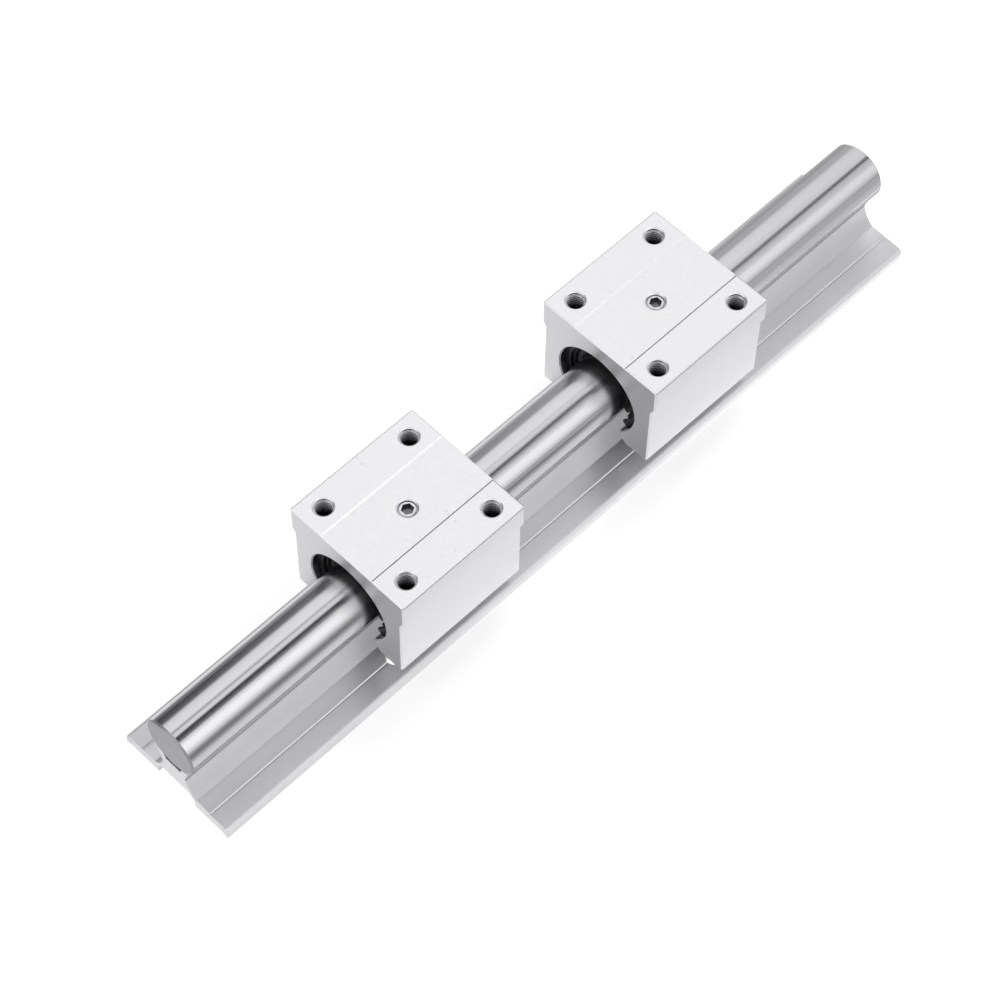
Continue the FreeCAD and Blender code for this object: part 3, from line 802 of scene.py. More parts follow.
def cut_pattern(made, bm, finish_name, spacing=(0.0, 0.0), count=(1, 1), centre=(0.0, 0.0, 0.0)):
    """Cuts a tool's bmesh out of a piece at each point of a grid."""
    tree = bpy.data.node_groups.get("cut_pattern") or pattern_tree()
    tool = as_object("tool", bm)
    apply_tree(made, tree, {
        "Tool": tool, "Spacing X": spacing[0], "Spacing Y": spacing[1],
        "Count X": count[0], "Count Y": count[1], "Centre": centre, "Finish": finish(finish_name)})
    bpy.data.objects.remove(tool)


# Operators


class RAIL_OT_shaft(bpy.types.Operator):
    """Make the ground and chromed shaft"""

    bl_idname = "rail.shaft"
    bl_label = "Shaft"

    def execute(self, context):
        rail, screw = context.scene.rail_support, context.scene.rail_screws
        radius, end = rail.shaft_radius, rail.length / 2
        face, shoulder = radius - rail.shaft_chamfer, end - rail.shaft_chamfer
        profile = [
            (0.0, -end), (face, -end), (radius, -shoulder), (radius, shoulder), (face, end), (0.0, end)]
        bm = shift(revolve(profile, SHAFT_FACETS), (0.0, 0.0, rail.axis_height))
        made = from_bmesh("ground_shaft", bm, "chrome", "cut_steel")
        # The tapped holes run on past the screws' points and end in a cone.
        wall, past = screw.shank + screw.thread_room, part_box("shaft_screw_1")[1].z + screw.hole_past
        hole = upright_lathe([
            (0.0, 0.0), (wall, 0.0), (wall, past), (0.0, past + screw.hole_point)], DRILL_FACETS)
        cut_pattern(made, hole, "chrome", (0.0, rail.hole_pitch), (1, 2))
        made.data.materials.append(finish("cut_steel"))
        for face in made.data.polygons:
            if abs(face.normal.y) > 0.3:
                face.material_index = 1
        smooth(made, 35.0)
        put(made, "rail", "shaft_chrome", "shaft")
        return {"FINISHED"}


def support_outline(rail):
    """The extruded support's section, as points in XZ."""
    slope = (rail.flange_root - rail.flange_edge) / (rail.base_width - rail.web_foot) * 2
    line = rail.hole_gauge / 2

    def top_at(x):
        return rail.flange_edge + (rail.base_width / 2 - x) * slope

    def seat_at(x):
        return rail.axis_height - math.sqrt(rail.shaft_radius ** 2 - x ** 2)

    edge, far = rail.base_width / 2 - rail.flange_round, rail.base_width / 2
    seat, relief = rail.seat_width / 2, rail.relief_width / 2
    bottom = rail.axis_height - rail.shaft_radius - rail.relief_depth
    channel, bend = rail.channel_width / 2, rail.channel_round
    half = arc((channel - bend, rail.channel_depth - bend), bend, 90, 0, 9)
    half += [(channel, 0.0), (far, 0.0)]
    start = (far, rail.flange_edge - rail.flange_round)
    half += arc_between(start, (edge, top_at(edge)), rail.flange_round, 1)
    half += [(line + rail.line_width / 2, top_at(line)), (line, top_at(line) - rail.line_depth),
             (line - rail.line_width / 2, top_at(line))]
    foot, neck = (rail.web_foot / 2, rail.flange_root), (rail.web_neck / 2, rail.neck_height)
    half += arc_between(foot, neck, rail.web_curve, -1)
    lip = seat - rail.lip_chamfer
    half += [(seat, seat_at(seat) - rail.seat_lip), (seat, seat_at(seat) - 2 * rail.lip_chamfer)]
    half += arc_between((lip, seat_at(lip)), (relief, seat_at(relief)), rail.shaft_radius, -1)
    half += [(relief - rail.relief_lean, bottom)]
    return both_sides(half)


class RAIL_OT_support(bpy.types.Operator):
    """Make the extruded support and drill it"""

    bl_idname = "rail.support"
    bl_label = "Support"

    def execute(self, context):
        rail, screw = context.scene.rail_support, context.scene.rail_screws
        end = rail.length / 2
        bm = extrude_outline(support_outline(rail), -end, end)
        bevel_where(bm, rail.edge_break, is_sharp)
        made = from_bmesh("extruded_support", bm, "extrusion")
        # Each tool starts below the underside and ends above what it drills.
        above = rail.flange_root + 3 * MM
        hole = upright_lathe([
            (0.0, -MM), (rail.hole_radius, -MM), (rail.hole_radius, above), (0.0, above)], DRILL_FACETS)
        cut_pattern(made, hole, "extrusion", (rail.hole_gauge, rail.hole_pitch), (2, 2))
        head = node_size("shaft_screw_1").x / 2 + screw.hole_room
        neck, step = screw.shank + screw.hole_room, screw.seat_height
        above = rail.axis_height - rail.shaft_radius + MM
        hole = upright_lathe([
            (0.0, -MM), (head, -MM), (head, step), (neck, step), (neck, above), (0.0, above)],
            DRILL_FACETS)
        cut_pattern(made, hole, "extrusion", (0.0, rail.hole_pitch), (1, 2))
        made.data.materials.append(finish("extrusion_end"))
        for face in made.data.polygons:
            from_line = abs(abs(face.center.x) - rail.hole_gauge / 2)
            sawn = abs(face.normal.y) > 0.9 and abs(face.center.y) > end - MM
            if sawn or from_line < rail.line_width / 2 and 0.5 < face.normal.z < 0.9:
                face.material_index = 1
        smooth(made)
        put(made, "rail", "support_aluminium", "support_rail")
        return {"FINISHED"}


def hexagon_tool(flats, low, high):
    """A hexagonal prism along Z."""
    reach = flats / 2 / math.cos(math.radians(30))
    turns = [math.radians(60 * i) for i in range(6)]
    bm = extrude_outline([(reach * math.cos(t), reach * math.sin(t)) for t in turns], low, high)
    bmesh.ops.transform(bm, verts=bm.verts, matrix=Matrix.Rotation(math.radians(90), 4, "X"))
    return bm


class RAIL_OT_shaft_screws(bpy.types.Operator):
    """Make the socket head screws that hold the shaft from below"""

    bl_idname = "rail.shaft_screws"
    bl_label = "Shaft Screws"

    def execute(self, context):
        screw = context.scene.rail_screws
        for number in (1, 2):
            node = "shaft_screw_%d" % number
            size, middle = node_size(node), node_middle(node)
            head, shank, end = size.x / 2, screw.shank, size.z
            profile = [
                (0.0, 0.0), (head - screw.head_chamfer, 0.0), (head, screw.head_chamfer),
                (head, screw.head_height), (shank, screw.head_height), (shank, end - screw.point),
                (shank - screw.point, end), (0.0, end)]
            bm = upright_lathe(profile, CAP_SCREW_FACETS)
            made = from_bmesh("socket_screw_%d" % number, bm, "cap_screw")
            # Every second point of the head's rim is drawn in, as knurling.
            for vert in made.data.vertices:
                radius = math.hypot(vert.co.x, vert.co.y)
                turn = round(math.atan2(vert.co.y, vert.co.x) / math.tau * CAP_SCREW_FACETS)
                if radius > head - JOINED and turn % 2:
                    vert.co.x *= 1 - screw.head_knurl / head
                    vert.co.y *= 1 - screw.head_knurl / head
            tool = hexagon_tool(screw.head_hexagon, -MM, screw.head_socket)
            cut_pattern(made, tool, "cap_screw")
            made.data.transform(Matrix.Translation((middle.x, middle.y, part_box(node)[0].z)))
            smooth(made)
            put(made, "rail", "screw_steel", node)
        return {"FINISHED"}


def is_end(block, spot, normal):
    """Whether a face of a block is one of its two sawn ends."""
    return abs(normal.y) > SQUARE and abs(spot.y) > block.length / 2 - 2 * SLACK


def is_bored(block, spot, normal):
    """Whether a face of a block is in its bore, by its place about the axis."""
    across = Vector((spot.x, spot.z))
    reach = block.bore_radius + block.groove_depth + SLACK
    inwards = across.dot(Vector((normal.x, normal.z))) < 0
    return across.length < reach and (inwards or abs(normal.y) > 0.5)


def is_edge(block, spot, normal):
    """Whether a face of a block is a chamfer, or a slope of its strip."""
    chamfer = abs(spot.y) > block.length / 2 - block.edge_chamfer and NEARLY_ALONG < abs(normal.y) < SQUARE
    corner = abs(spot.x) > block.width / 2 - block.shoulder_inset - block.edge_chamfer
    corner = corner and abs(normal.z) > NEARLY_ALONG and abs(abs(normal.x) - abs(normal.z)) < 0.01
    slope = spot.z > block.top - block.strip_depth and 0.5 < normal.z < SQUARE and abs(normal.y) < JOINED
    return chamfer or corner or slope


def is_shaded(block, spot, normal):
    """Whether a face is the strip's right slope or the burr, which take a dark grey finish as painted shade."""
    slope = spot.z > block.top - block.strip_depth and abs(spot.x) < block.strip_width
    slope = slope and normal.x < -NEARLY_ALONG and 0.5 < normal.z < SQUARE and abs(normal.y) < JOINED
    burr = spot.x > block.width / 2 - block.burr and spot.z > block.top - 2 * block.edge_chamfer
    burr = burr and 0.85 < normal.x < SQUARE
    return slope or burr


def is_tapped(block, spot, normal):
    """Whether a face of a block is in one of its five threaded holes."""
    if spot.z > block.top - block.strip_depth or normal.z > 0.5:
        return False
    holes = [Vector((x, y)) * block.tap_spacing / 2 for x in (-1, 1) for y in (-1, 1)] + [Vector((0, 0))]
    reach = block.tap_radius + block.tap_chamfer + SLACK
    inside = any((spot.xy - hole).length < reach for hole in holes)
    return inside and spot.z > block.bore_radius


# The first test that a face of a block passes gives its finish.
FACE_TESTS = {
    "block_end": is_end, "shaded": is_shaded, "edge": is_edge, "bored": is_bored, "tapped": is_tapped}


def block_bmesh(block):
    """A block about its own axis, with its outer chamfers and its burr."""
    half_width, side = block.width / 2, block.width / 2 - block.shoulder_inset
    feet, top, end = block.top - block.height, block.top, block.length / 2
    half = arc((0.0, 0.0), block.bore_radius, 90, math.degrees(block.opening_angle) - 90, 3)
    half += [
        (-feet * math.tan(block.opening_angle), feet), (side, feet),
        (side, top - block.shoulder_height - block.shoulder_slope),
        (half_width, top - block.shoulder_height), (half_width, top)]
    bm = extrude_outline(both_sides(half), -end, end)

    def spots_of(edge):
        return [v.co for v in edge.verts]

    def is_mouth(edge):
        return all(abs(v.y) > end - JOINED and abs(v.xz.length - block.bore_radius) < JOINED
                   for v in spots_of(edge))

    def is_rim(edge):
        return all(abs(v.y) > end - JOINED and max(abs(v.x), v.z) > block.bore_radius - JOINED
                   for v in spots_of(edge))

    def is_corner(edge):
        return all((v.z > top - JOINED or v.z < feet + JOINED) and abs(v.x) > side - JOINED
                   for v in spots_of(edge))

    def is_brow(edge):
        return all(abs(v.z - top + block.edge_chamfer) < JOINED and v.x > half_width - JOINED
                   for v in spots_of(edge))

    mouth = [e for e in bm.edges if is_mouth(e)]
    rim = [e for e in bm.edges if e not in mouth and (is_rim(e) or is_corner(e))]
    bmesh.ops.bevel(bm, geom=rim, offset=block.edge_chamfer, segments=1, profile=0.5,
                    affect="EDGES", clamp_overlap=True)
    bevel_where(bm, block.bore_chamfer, is_mouth)
    bevel_where(bm, block.burr, is_brow)
    return bm


def cut_block(block, made, name, middle):
    """Cuts the strip, the five threaded holes and the two grooves of a block."""
    top, end = block.top, block.length / 2
    low_reach, high_reach = block.strip_width / 2 - block.strip_run, block.strip_width / 2 + block.strip_run
    strip = extrude_outline([
        (-low_reach, top - block.strip_depth), (low_reach, top - block.strip_depth),
        (high_reach, top + block.strip_depth), (-high_reach, top + block.strip_depth)], -end - MM, end + MM)
    cut_pattern(made, strip, "anodised")
    tap, sink = block.tap_radius, block.tap_chamfer
    mouth = [(tap, -sink), (tap + sink + MM, MM), (0.0, MM)]
    bottom = [(0.0, -block.tap_depth - block.tap_point), (tap, -block.tap_depth)]
    hole = upright_lathe(bottom + mouth, TAP_FACETS)
    cut_pattern(made, hole, "anodised", (block.tap_spacing, block.tap_spacing), (2, 2), (0.0, 0.0, top))
    hole = upright_lathe([(0.0, -top), (tap, -top)] + mouth, TAP_FACETS)
    cut_pattern(made, hole, "anodised", centre=(0.0, 0.0, top - block.strip_depth))
    ring = name + "_snap_ring_front"
    half, depth = (node_size(ring).y + block.groove_room) / 2, block.bore_radius + block.groove_depth
    groove = revolve([
        (block.bore_radius - MM, -half), (depth, -half), (depth, half), (block.bore_radius - MM, half)],
        GROOVE_FACETS)
    apart = 2 * abs(node_middle(ring).y - middle)
    cut_pattern(made, groove, "anodised", (0.0, apart), (1, 2))


class RAIL_OT_blocks(bpy.types.Operator):
    """Make the two blasted and anodised bearing blocks"""

    bl_idname = "rail.blocks"
    bl_label = "Blocks"

    def execute(self, context):
        block = context.scene.rail_block
        axis = context.scene.rail_support.axis_height
        for name in CARRIAGES:
            middle = node_middle(name + "_housing").y
            made = from_bmesh(name + "_block", block_bmesh(block), "anodised")
            cut_block(block, made, name, middle)
            made.data.transform(Matrix.Translation((0.0, middle, axis)))
            for name_of_finish in FACE_TESTS:
                made.data.materials.append(finish(name_of_finish))
            for face in made.data.polygons:
                spot = Vector((face.center.x, face.center.y - middle, face.center.z - axis))
                passed = [test(block, spot, face.normal) for test in FACE_TESTS.values()]
                face.material_index = passed.index(True) + 1 if any(passed) else 0
            smooth(made)
            put(made, "carriage_" + name, "housing_aluminium", name + "_housing")
        return {"FINISHED"}


class RAIL_OT_threads(bpy.types.Operator):
    """Wind the threads in the blocks' tapped holes"""

    bl_idname = "rail.threads"
    bl_label = "Threads"

    def execute(self, context):
        block = context.scene.rail_block
        axis = context.scene.rail_support.axis_height
        tree = thread_tree()
        turns = (block.tap_depth - block.tap_chamfer) / block.thread_pitch - 1
        for name in CARRIAGES:
            middle = node_middle(name + "_housing").y
            made = link(name + "_tapped_threads", bpy.data.meshes.new(name + "_tapped_threads"))
            apply_tree(made, tree, {
                "Radius": block.tap_radius - block.thread_inset, "Pitch": block.thread_pitch, "Turns": turns,
                "Ridge": block.thread_ridge, "Spacing": block.tap_spacing,
                "Centre": (0.0, middle, axis + block.top - block.tap_depth + block.thread_pitch / 2),
                "Finish": finish("tapped")})
            put(made, "carriage_" + name, "housing_aluminium")
        return {"FINISHED"}


# A seal's section from its outer face, which bears on the shaft with its lip:
# the reach from the shaft in millimetres, and the depth in fifths of its width.
SEAL_SECTION = ((0.05, 5), (0.05, 3), (0.9, 1), (2.2, 1), (2.4, 2.5), (2.9, 2.5), (3.1, 0))


class RAIL_OT_bushings(bpy.types.Operator):
    """Make the open ball bushings, their seals and their snap rings"""

    bl_idname = "rail.bushings"
    bl_label = "Bushings"

    def execute(self, context):
        rail, bush = context.scene.rail_support, context.scene.rail_bushing
        shaft, axis = rail.shaft_radius, (0.0, 0.0, rail.axis_height)

        def open_ring(label, profile, opening, facets, finish_name):
            """A piece about the shaft that is open below."""
            half = math.degrees(opening)
            bm = shift(revolve(profile, facets, half, 360 - half), axis)
            return smooth(from_bmesh(label, bm, finish_name))

        for name in CARRIAGES:
            body = "carriage_" + name
            low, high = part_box(name + "_sleeve")
            outer = (high.x - low.x) / 2
            inner = outer - bush.sleeve_wall
            profile = rounded_box_profile(inner, outer, low.y, high.y, bush.sleeve_edge)
            made = open_ring(name + "_bushing_sleeve", profile, bush.sleeve_opening, RING_FACETS, "sleeve")
            put(made, body, "sleeve_steel", name + "_sleeve")

            low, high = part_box(name + "_ball_retainer")
            profile = rounded_box_profile(
                shaft + bush.retainer_gap, inner - bush.fit, low.y, high.y, bush.retainer_edge)
            made = open_ring(
                name + "_bushing_retainer", profile, bush.retainer_opening, RING_FACETS, "retainer")
            put(made, body, "retainer_plastic", name + "_ball_retainer")

            for end, outward in (("front", -1), ("rear", 1)):
                node = "%s_seal_%s" % (name, end)
                low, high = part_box(node)
                face, back = (low.y, high.y) if outward < 0 else (high.y, low.y)
                step = (back - face) / 5
                profile = [(inner - bush.fit, face), (inner - bush.fit, back)]
                profile += [(shaft + reach * MM, face + depth * step) for reach, depth in SEAL_SECTION]
                made = open_ring(
                    "%s_lip_seal_%s" % (name, end), profile, bush.seal_opening, SEAL_FACETS, "seal")
                put(made, body, "seal_rubber", node)

                node = "%s_snap_ring_%s" % (name, end)
                low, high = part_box(node)
                reach = (high.x - low.x) / 2
                profile = rounded_box_profile(reach - bush.ring_width, reach, low.y, high.y, bush.ring_edge)
                made = open_ring(
                    "%s_retaining_ring_%s" % (name, end), profile, bush.ring_opening, RING_FACETS,
                    "snap_ring")
                put(made, body, "ring_steel", node)
        return {"FINISHED"}


class RAIL_OT_balls(bpy.types.Operator):
    """Lay the load balls in rows along the shaft"""

    bl_idname = "rail.balls"
    bl_label = "Load Balls"

    def execute(self, context):
        rail, bush = context.scene.rail_support, context.scene.rail_bushing
        tree = ball_tree()
        for name in CARRIAGES:
            made = link(name + "_load_balls", bpy.data.meshes.new(name + "_load_balls"))
            middle = node_middle(name + "_ball_retainer").y
            apply_tree(made, tree, {
                "Ball Radius": bush.ball_radius,
                "Row Radius": rail.shaft_radius + bush.ball_radius + bush.ball_gap,
                "Rows": BALL_ROWS, "Start Angle": bush.ball_opening - math.pi / 2,
                "Sweep": 2 * (math.pi - bush.ball_opening), "Balls": BALLS_IN_ROW,
                "Spacing": bush.ball_pitch,
                "Centre": (0.0, middle, rail.axis_height), "Finish": finish("balls")})
            put(made, "carriage_" + name, "sleeve_steel")
        return {"FINISHED"}


class RAIL_OT_set_screws(bpy.types.Operator):
    """Make the set screws in the tops of the blocks"""

    bl_idname = "rail.set_screws"
    bl_label = "Set Screws"

    def execute(self, context):
        screw = context.scene.rail_screws
        chamfer = screw.set_chamfer
        for name in CARRIAGES:
            node = name + "_set_screw"
            size, middle = node_size(node), node_middle(node)
            radius, end = size.x / 2, size.z
            profile = [
                (0.0, 0.0), (radius - chamfer, 0.0), (radius, chamfer), (radius, end - chamfer),
                (radius - chamfer, end), (0.0, end)]
            bm = upright_lathe(profile, SET_SCREW_FACETS)
            made = from_bmesh(name + "_socket_set_screw", bm, "set_screw")
            tool = hexagon_tool(screw.set_hexagon, end - screw.set_socket, end + MM)
            cut_pattern(made, tool, "set_screw")
            # Painted shade: the socket's walls take the darker bearing steel, for the shade inside the
            # socket.
            made.data.materials.append(finish("sleeve"))
            for face in made.data.polygons:
                inside = face.center.xy.length < screw.set_hexagon / 2 + SLACK
                if inside and MM < face.center.z < end - 2 * SLACK:
                    face.material_index = 1
            made.data.transform(Matrix.Translation((middle.x, middle.y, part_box(node)[0].z)))
            smooth(made)
            put(made, "carriage_" + name, "set_screw_steel", node)
        return {"FINISHED"}


# What a mirror sees round the rail above the floor, by the angle about the
# rail's axis from straight up towards +X: soft boxes with gaps between them.
SURROUND = (
    (0, 0.96), (33, 0.92), (41, 1.04), (52, 1.32), (65, 1.25), (73, 1.02), (81, 0.8), (89, 0.38),
    (97, 0.24), (263, 0.02), (280, 0.02), (290, 0.04), (297, 0.1), (304, 0.42), (312, 0.9),
    (336, 1.05), (348, 1.06), (360, 0.96))
# How that changes with the run of the mirrored ray along the rail: the angle
# of a narrow gap overhead, its inner and outer half width and what is left of
# the light in it, a crease beside it, the light in the left gap and in the
# left and right boxes, how far the left box draws back, and how far the
# contrast fades.
ALONG = (
    # run, angle, inner, outer, left over, crease, left gap, left box, right box, back, fade
    (0.25, 21.6, 8.0, 13.6, 0.02, 0.22, 0.00, 0.94, 1.0, 4.0, 0.0),
    (0.31, 21.0, 6.0, 13.2, 0.03, 0.6, 0.12, 1.02, 1.0, 2.5, 0.0),
    (0.38, 18.0, 2.0, 9.0, 0.05, 0.97, 0.42, 1.2, 1.02, -0.5, 0.0),
    (0.41, 17.6, 1.8, 8.2, 0.1, 1.0, 0.48, 1.2, 1.02, -0.5, 0.0),
    (0.47, 10.2, 1.8, 9.2, 0.14, 1.0, 0.57, 1.1, 0.95, -2.0, 0.25),
    (0.51, 8.6, 2.0, 10.0, 0.02, 0.95, 0.61, 1.03, 0.78, -3.0, 0.5))
FADE_TONE = 0.6
# The crease's place, from straight up, and its half width, in degrees.
CREASE, CREASE_WIDTH = -6.5, 8.0
# Where the left and the right box begin and are whole, by the ray's way across.
LEFT_BOX, RIGHT_BOX = (0.1, -0.2), (0.3, 0.7)
# How the boxes dim towards the front, and a small soft box low in front, which
# the blocks' front chamfers mirror, both by the run.
FRONT_DIM = ((0.0, 1.0), (-0.4, 0.8))
FRONT_LEVEL = ((-0.66, 0.0), (-0.82, 1.15))
# The light that falls on what isn't a mirror.
SOFT_LEVEL = 0.8
# What a mirror sees of the floor, by the way across the rail in metres.
FLOOR_TONE = (
    (-0.3, 0.04), (-0.2, 0.16), (-0.13, 0.4), (-0.083, 0.76), (-0.06, 0.86), (-0.045, 0.93), (-0.02, 0.93),
    (0.0, 0.95), (0.026, 0.95), (0.032, 0.85), (0.045, 0.84), (0.054, 0.79), (0.073, 0.56), (0.11, 0.36),
    (0.15, 0.28), (0.3, 0.26))
# How the floor pales on the left, and how its contrast fades and to what tone.
# The first two go by the way along the rail in metres, the last by the way
# across.
FLOOR_LEFT = (
    (-0.3, 0.0), (-0.12, 0.0), (-0.08, 0.07), (-0.055, 0.16), (-0.018, 0.34), (0.03, 0.44), (0.1, 0.5),
    (0.3, 0.52))
FLOOR_FADE = ((-0.3, 0.0), (0.06, 0.0), (0.12, 0.72), (0.145, 0.85), (0.3, 0.9))
FLOOR_FADE_TONE = ((-0.3, 0.45), (-0.02, 0.45), (0.02, 0.62), (0.05, 0.67), (0.08, 0.58), (0.3, 0.62))
# How bright the floor is close by the rail's outer edges, along the rail, and
# the strip across in which it is.
FLOOR_BESIDE = ((-0.3, 0.8), (-0.1, 0.85), (-0.02, 1.1), (0.1, 1.25), (0.3, 1.3))
BESIDE_START, BESIDE_END = (0.0205, 0.0225), (0.027, 0.0245)
# Where the floor's left part begins and is whole.
FLOOR_LEFT_EDGE = (-0.03, -0.06)
# Painted light that the eye sees on top of the floor's own shading: more under the rail, where it lifts the
# shadow that the mounting holes show.
FLOOR_LIFT = ((0.019, 0.8), (0.0225, 0.28))


def make_surround(world):
    """White to the eye and plain light on the object, and a light tent's
    soft boxes and gaps in what metal mirrors."""
    world.use_nodes = True
    tree = world.node_tree
    tree.nodes.clear()
    path = add(tree, "ShaderNodeLightPath")
    way = add(tree, "ShaderNodeSeparateXYZ", {0: add(tree, "ShaderNodeTexCoord").outputs["Generated"]})
    across, along, up = way.outputs
    first, last = ALONG[0][0], ALONG[-1][0]
    run = add(tree, "ShaderNodeMapRange", {"Value": along, "From Min": first, "From Max": last})
    angle, inner, outer, left_over, crease, left_gap, left_box, right_box, back, fade = [
        draw_curve(add(tree, "ShaderNodeFloatCurve", {"Value": run}), [(row[0], row[i]) for row in ALONG])
        for i in range(1, 11)]

    turn = add(tree, "ShaderNodeMath", {0: across, 1: up}, operation="ARCTAN2")
    turn = add(tree, "ShaderNodeMath", {0: turn}, operation="DEGREES")
    on_left, on_right = [
        add(tree, "ShaderNodeMapRange", {"Value": across, "From Min": begin, "From Max": whole})
        for begin, whole in (LEFT_BOX, RIGHT_BOX)]
    drawn = add(tree, "ShaderNodeMath", {0: back, 1: on_left}, operation="MULTIPLY")
    share = add(tree, "ShaderNodeMath", {0: turn, 1: drawn}, operation="SUBTRACT")
    share = add(tree, "ShaderNodeMath", {0: share, 1: 360.0}, operation="DIVIDE")
    share = add(tree, "ShaderNodeMath", {0: share}, operation="FRACT")
    boxes = draw_curve(add(tree, "ShaderNodeFloatCurve", {"Value": share}), SURROUND)
    for box, side in ((left_box, on_left), (right_box, on_right)):
        part = add(tree, "ShaderNodeMix", {"Factor": side, "A": 1.0, "B": box})
        boxes = add(tree, "ShaderNodeMath", {0: boxes, 1: part}, operation="MULTIPLY")
    filled = add(tree, "ShaderNodeMath", {0: left_gap, 1: on_left}, operation="MULTIPLY")
    boxes = add(tree, "ShaderNodeMix", {"Factor": filled, "A": boxes, "B": 1.0})
    level = add(tree, "ShaderNodeMix", {"Factor": fade, "A": boxes, "B": FADE_TONE})

    # The gap, the crease and the dimmer front each take light away.
    asides = [
        add(tree, "ShaderNodeMath", {0: turn, 1: middle}, operation="SUBTRACT")
        for middle in (angle, CREASE)]
    from_gap, from_crease = [
        add(tree, "ShaderNodeMath", {0: aside}, operation="ABSOLUTE") for aside in asides]
    gap = add(tree, "ShaderNodeMapRange", {
        "Value": from_gap, "From Min": inner, "From Max": outer, "To Min": left_over},
        interpolation_type="SMOOTHSTEP")
    fold = add(tree, "ShaderNodeMapRange", {
        "Value": from_crease, "From Max": CREASE_WIDTH, "To Min": crease}, interpolation_type="SMOOTHSTEP")
    dim, low_box = [
        add(tree, "ShaderNodeMapRange", {
            "Value": along, "From Min": begin, "From Max": end, "To Min": start, "To Max": stop})
        for (begin, start), (end, stop) in (FRONT_DIM, FRONT_LEVEL)]
    for part in (gap, fold, dim):
        level = add(tree, "ShaderNodeMath", {0: level, 1: part}, operation="MULTIPLY")
    level = add(tree, "ShaderNodeMath", {0: level, 1: low_box}, operation="MAXIMUM")

    mirrored, soft, white = [
        add(tree, "ShaderNodeBackground", {"Color": WHITE, "Strength": strength})
        for strength in (level, SOFT_LEVEL, 1.0)]
    lit = add(tree, "ShaderNodeMixShader", {0: path.outputs["Is Glossy Ray"], 1: soft, 2: mirrored})
    seen = add(tree, "ShaderNodeMixShader", {0: path.outputs["Is Camera Ray"], 1: lit, 2: white})
    add(tree, "ShaderNodeOutputWorld", {"Surface": seen})


def pale_floor(colours):
    """A plain pale sweep: white to the eye except for the shadow, with painted light that pales the shadow
    under the rail, where the mounting holes show it, and darker far from the rail in what metal mirrors."""
    made, tree, place = new_finish("pale_floor")
    path = add(tree, "ShaderNodeLightPath")
    spot = add(tree, "ShaderNodeSeparateXYZ", {0: place})
    across, along = spot.outputs["X"], spot.outputs["Y"]

    def over(way, points):
        """A value off a curve by a way over the floor."""
        share = add(tree, "ShaderNodeMapRange", {
            "Value": way, "From Min": points[0][0], "From Max": points[-1][0]})
        return draw_curve(add(tree, "ShaderNodeFloatCurve", {"Value": share}), points)

    away = add(tree, "ShaderNodeMath", {0: across}, operation="ABSOLUTE")
    on_left, start, end = [
        add(tree, "ShaderNodeMapRange", {"Value": way, "From Min": begin, "From Max": whole})
        for way, (begin, whole) in ((across, FLOOR_LEFT_EDGE), (away, BESIDE_START), (away, BESIDE_END))]
    left = add(tree, "ShaderNodeMath", {0: over(along, FLOOR_LEFT), 1: on_left}, operation="MULTIPLY")
    fall = add(tree, "ShaderNodeMath", {0: over(across, FLOOR_TONE), 1: left}, operation="MAXIMUM")
    fall = add(tree, "ShaderNodeMix", {
        "Factor": over(along, FLOOR_FADE), "A": fall, "B": over(across, FLOOR_FADE_TONE)})
    beside = add(tree, "ShaderNodeMath", {0: start, 1: end}, operation="MULTIPLY")
    fall = add(tree, "ShaderNodeMix", {"Factor": beside, "A": fall, "B": over(along, FLOOR_BESIDE)})
    (near_edge, most), (far_edge, least) = FLOOR_LIFT
    lift = add(tree, "ShaderNodeMapRange", {
        "Value": away, "From Min": near_edge, "From Max": far_edge, "To Min": most, "To Max": least})
    shaded = add(tree, "ShaderNodeBsdfDiffuse", {"Color": rgba(colours.floor)})
    mirrored, lifted = [
        add(tree, "ShaderNodeEmission", {"Color": WHITE, "Strength": strength}) for strength in (fall, lift)]
    lit = add(tree, "ShaderNodeMixShader", {0: path.outputs["Is Glossy Ray"], 1: shaded, 2: mirrored})
    both = add(tree, "ShaderNodeAddShader", {0: shaded, 1: lifted})
    seen = add(tree, "ShaderNodeMixShader", {0: path.outputs["Is Camera Ray"], 1: lit, 2: both})
    add(tree, "ShaderNodeOutputMaterial", {"Surface": seen})
    return made


# The photograph's viewing angle: the lens and the sensor in millimetres, the
# camera's place, and its turns about X, Y and Z in degrees.
LENS, SENSOR = 107.965, 36.0
EYE = (0.338505, -0.363087, 0.804619)
EYE_TURN = (31.39911, -0.56814, 45.13267)
# The lamp's place and width in metres and its power in watts, and how far the
# floor reaches from the rail.
LAMP_PLACE, LAMP_SIZE, LAMP_POWER = (-0.1, 0.5, 0.9), 0.7, 2.8
FLOOR_REACH = 3.0


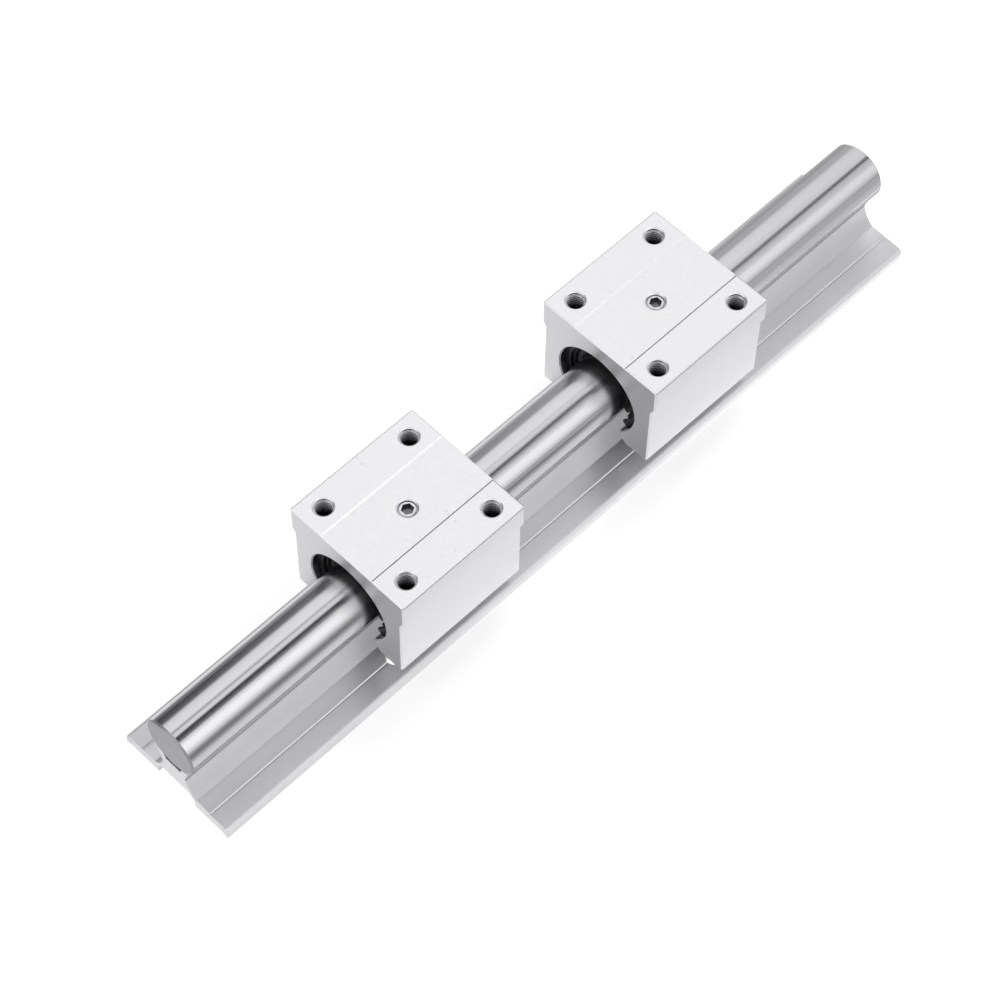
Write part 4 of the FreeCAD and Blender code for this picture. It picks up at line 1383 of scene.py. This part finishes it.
class RAIL_OT_stage(bpy.types.Operator):
    """Make the floor, the light and the camera"""

    bl_idname = "rail.stage"
    bl_label = "Stage"

    def execute(self, context):
        scene = context.scene
        bm = bmesh.new()
        bmesh.ops.create_grid(bm, x_segments=1, y_segments=1, size=FLOOR_REACH)
        floor = as_object("floor", bm)
        floor.data.materials.append(pale_floor(scene.rail_colours))

        scene.world = bpy.data.worlds.new("light_tent")
        make_surround(scene.world)

        light = bpy.data.lights.new("key", "AREA")
        light.shape, light.size, light.energy = "DISK", LAMP_SIZE, LAMP_POWER
        lamp = link("key", light)
        lamp.location = LAMP_PLACE
        lamp.rotation_euler = (-lamp.location).to_track_quat("-Z", "Y").to_euler()
        lamp.visible_glossy = False

        lens = bpy.data.cameras.new("camera")
        lens.sensor_width, lens.lens = SENSOR, LENS
        lens.clip_start, lens.clip_end = 0.01, 10.0
        camera = link("camera", lens)
        camera.location = EYE
        camera.rotation_euler = [math.radians(turn) for turn in EYE_TURN]
        scene.camera = camera
        scene.view_settings.view_transform = "Standard"
        return {"FINISHED"}


class RAIL_PT_panel(bpy.types.Panel):
    """Lists the pieces of the rail"""

    bl_label = "Supported Round Rail"
    bl_idname = "RAIL_PT_panel"
    bl_space_type = "VIEW_3D"
    bl_region_type = "UI"
    bl_category = "Rail"

    def draw(self, context):
        layout = self.layout
        for operator in OPERATORS:
            layout.operator(operator.bl_idname)
        for name in GROUPS:
            group, box = getattr(context.scene, name), layout.box()
            for setting in group.__annotations__:
                box.prop(group, setting)


OPERATORS = (
    RAIL_OT_shaft, RAIL_OT_support, RAIL_OT_shaft_screws, RAIL_OT_blocks, RAIL_OT_threads,
    RAIL_OT_bushings, RAIL_OT_balls, RAIL_OT_set_screws, RAIL_OT_stage)
GROUPS = {
    "rail_support": RailSupportSizes, "rail_screws": RailScrewSizes, "rail_block": RailBlockSizes,
    "rail_bushing": RailBushingSizes, "rail_colours": RailColours}


def register():
    for group in GROUPS.values():
        bpy.utils.register_class(group)
    for operator in OPERATORS:
        bpy.utils.register_class(operator)
    bpy.utils.register_class(RAIL_PT_panel)
    for name, group in GROUPS.items():
        setattr(bpy.types.Scene, name, bpy.props.PointerProperty(type=group))


def unregister():
    for name in GROUPS:
        delattr(bpy.types.Scene, name)
    bpy.utils.unregister_class(RAIL_PT_panel)
    for operator in reversed(OPERATORS):
        bpy.utils.unregister_class(operator)
    for group in reversed(list(GROUPS.values())):
        bpy.utils.unregister_class(group)


def main():
    register()
    for operator in OPERATORS:
        family, name = operator.bl_idname.split(".")
        getattr(getattr(bpy.ops, family), name)()


if __name__ == "__main__":
    main()
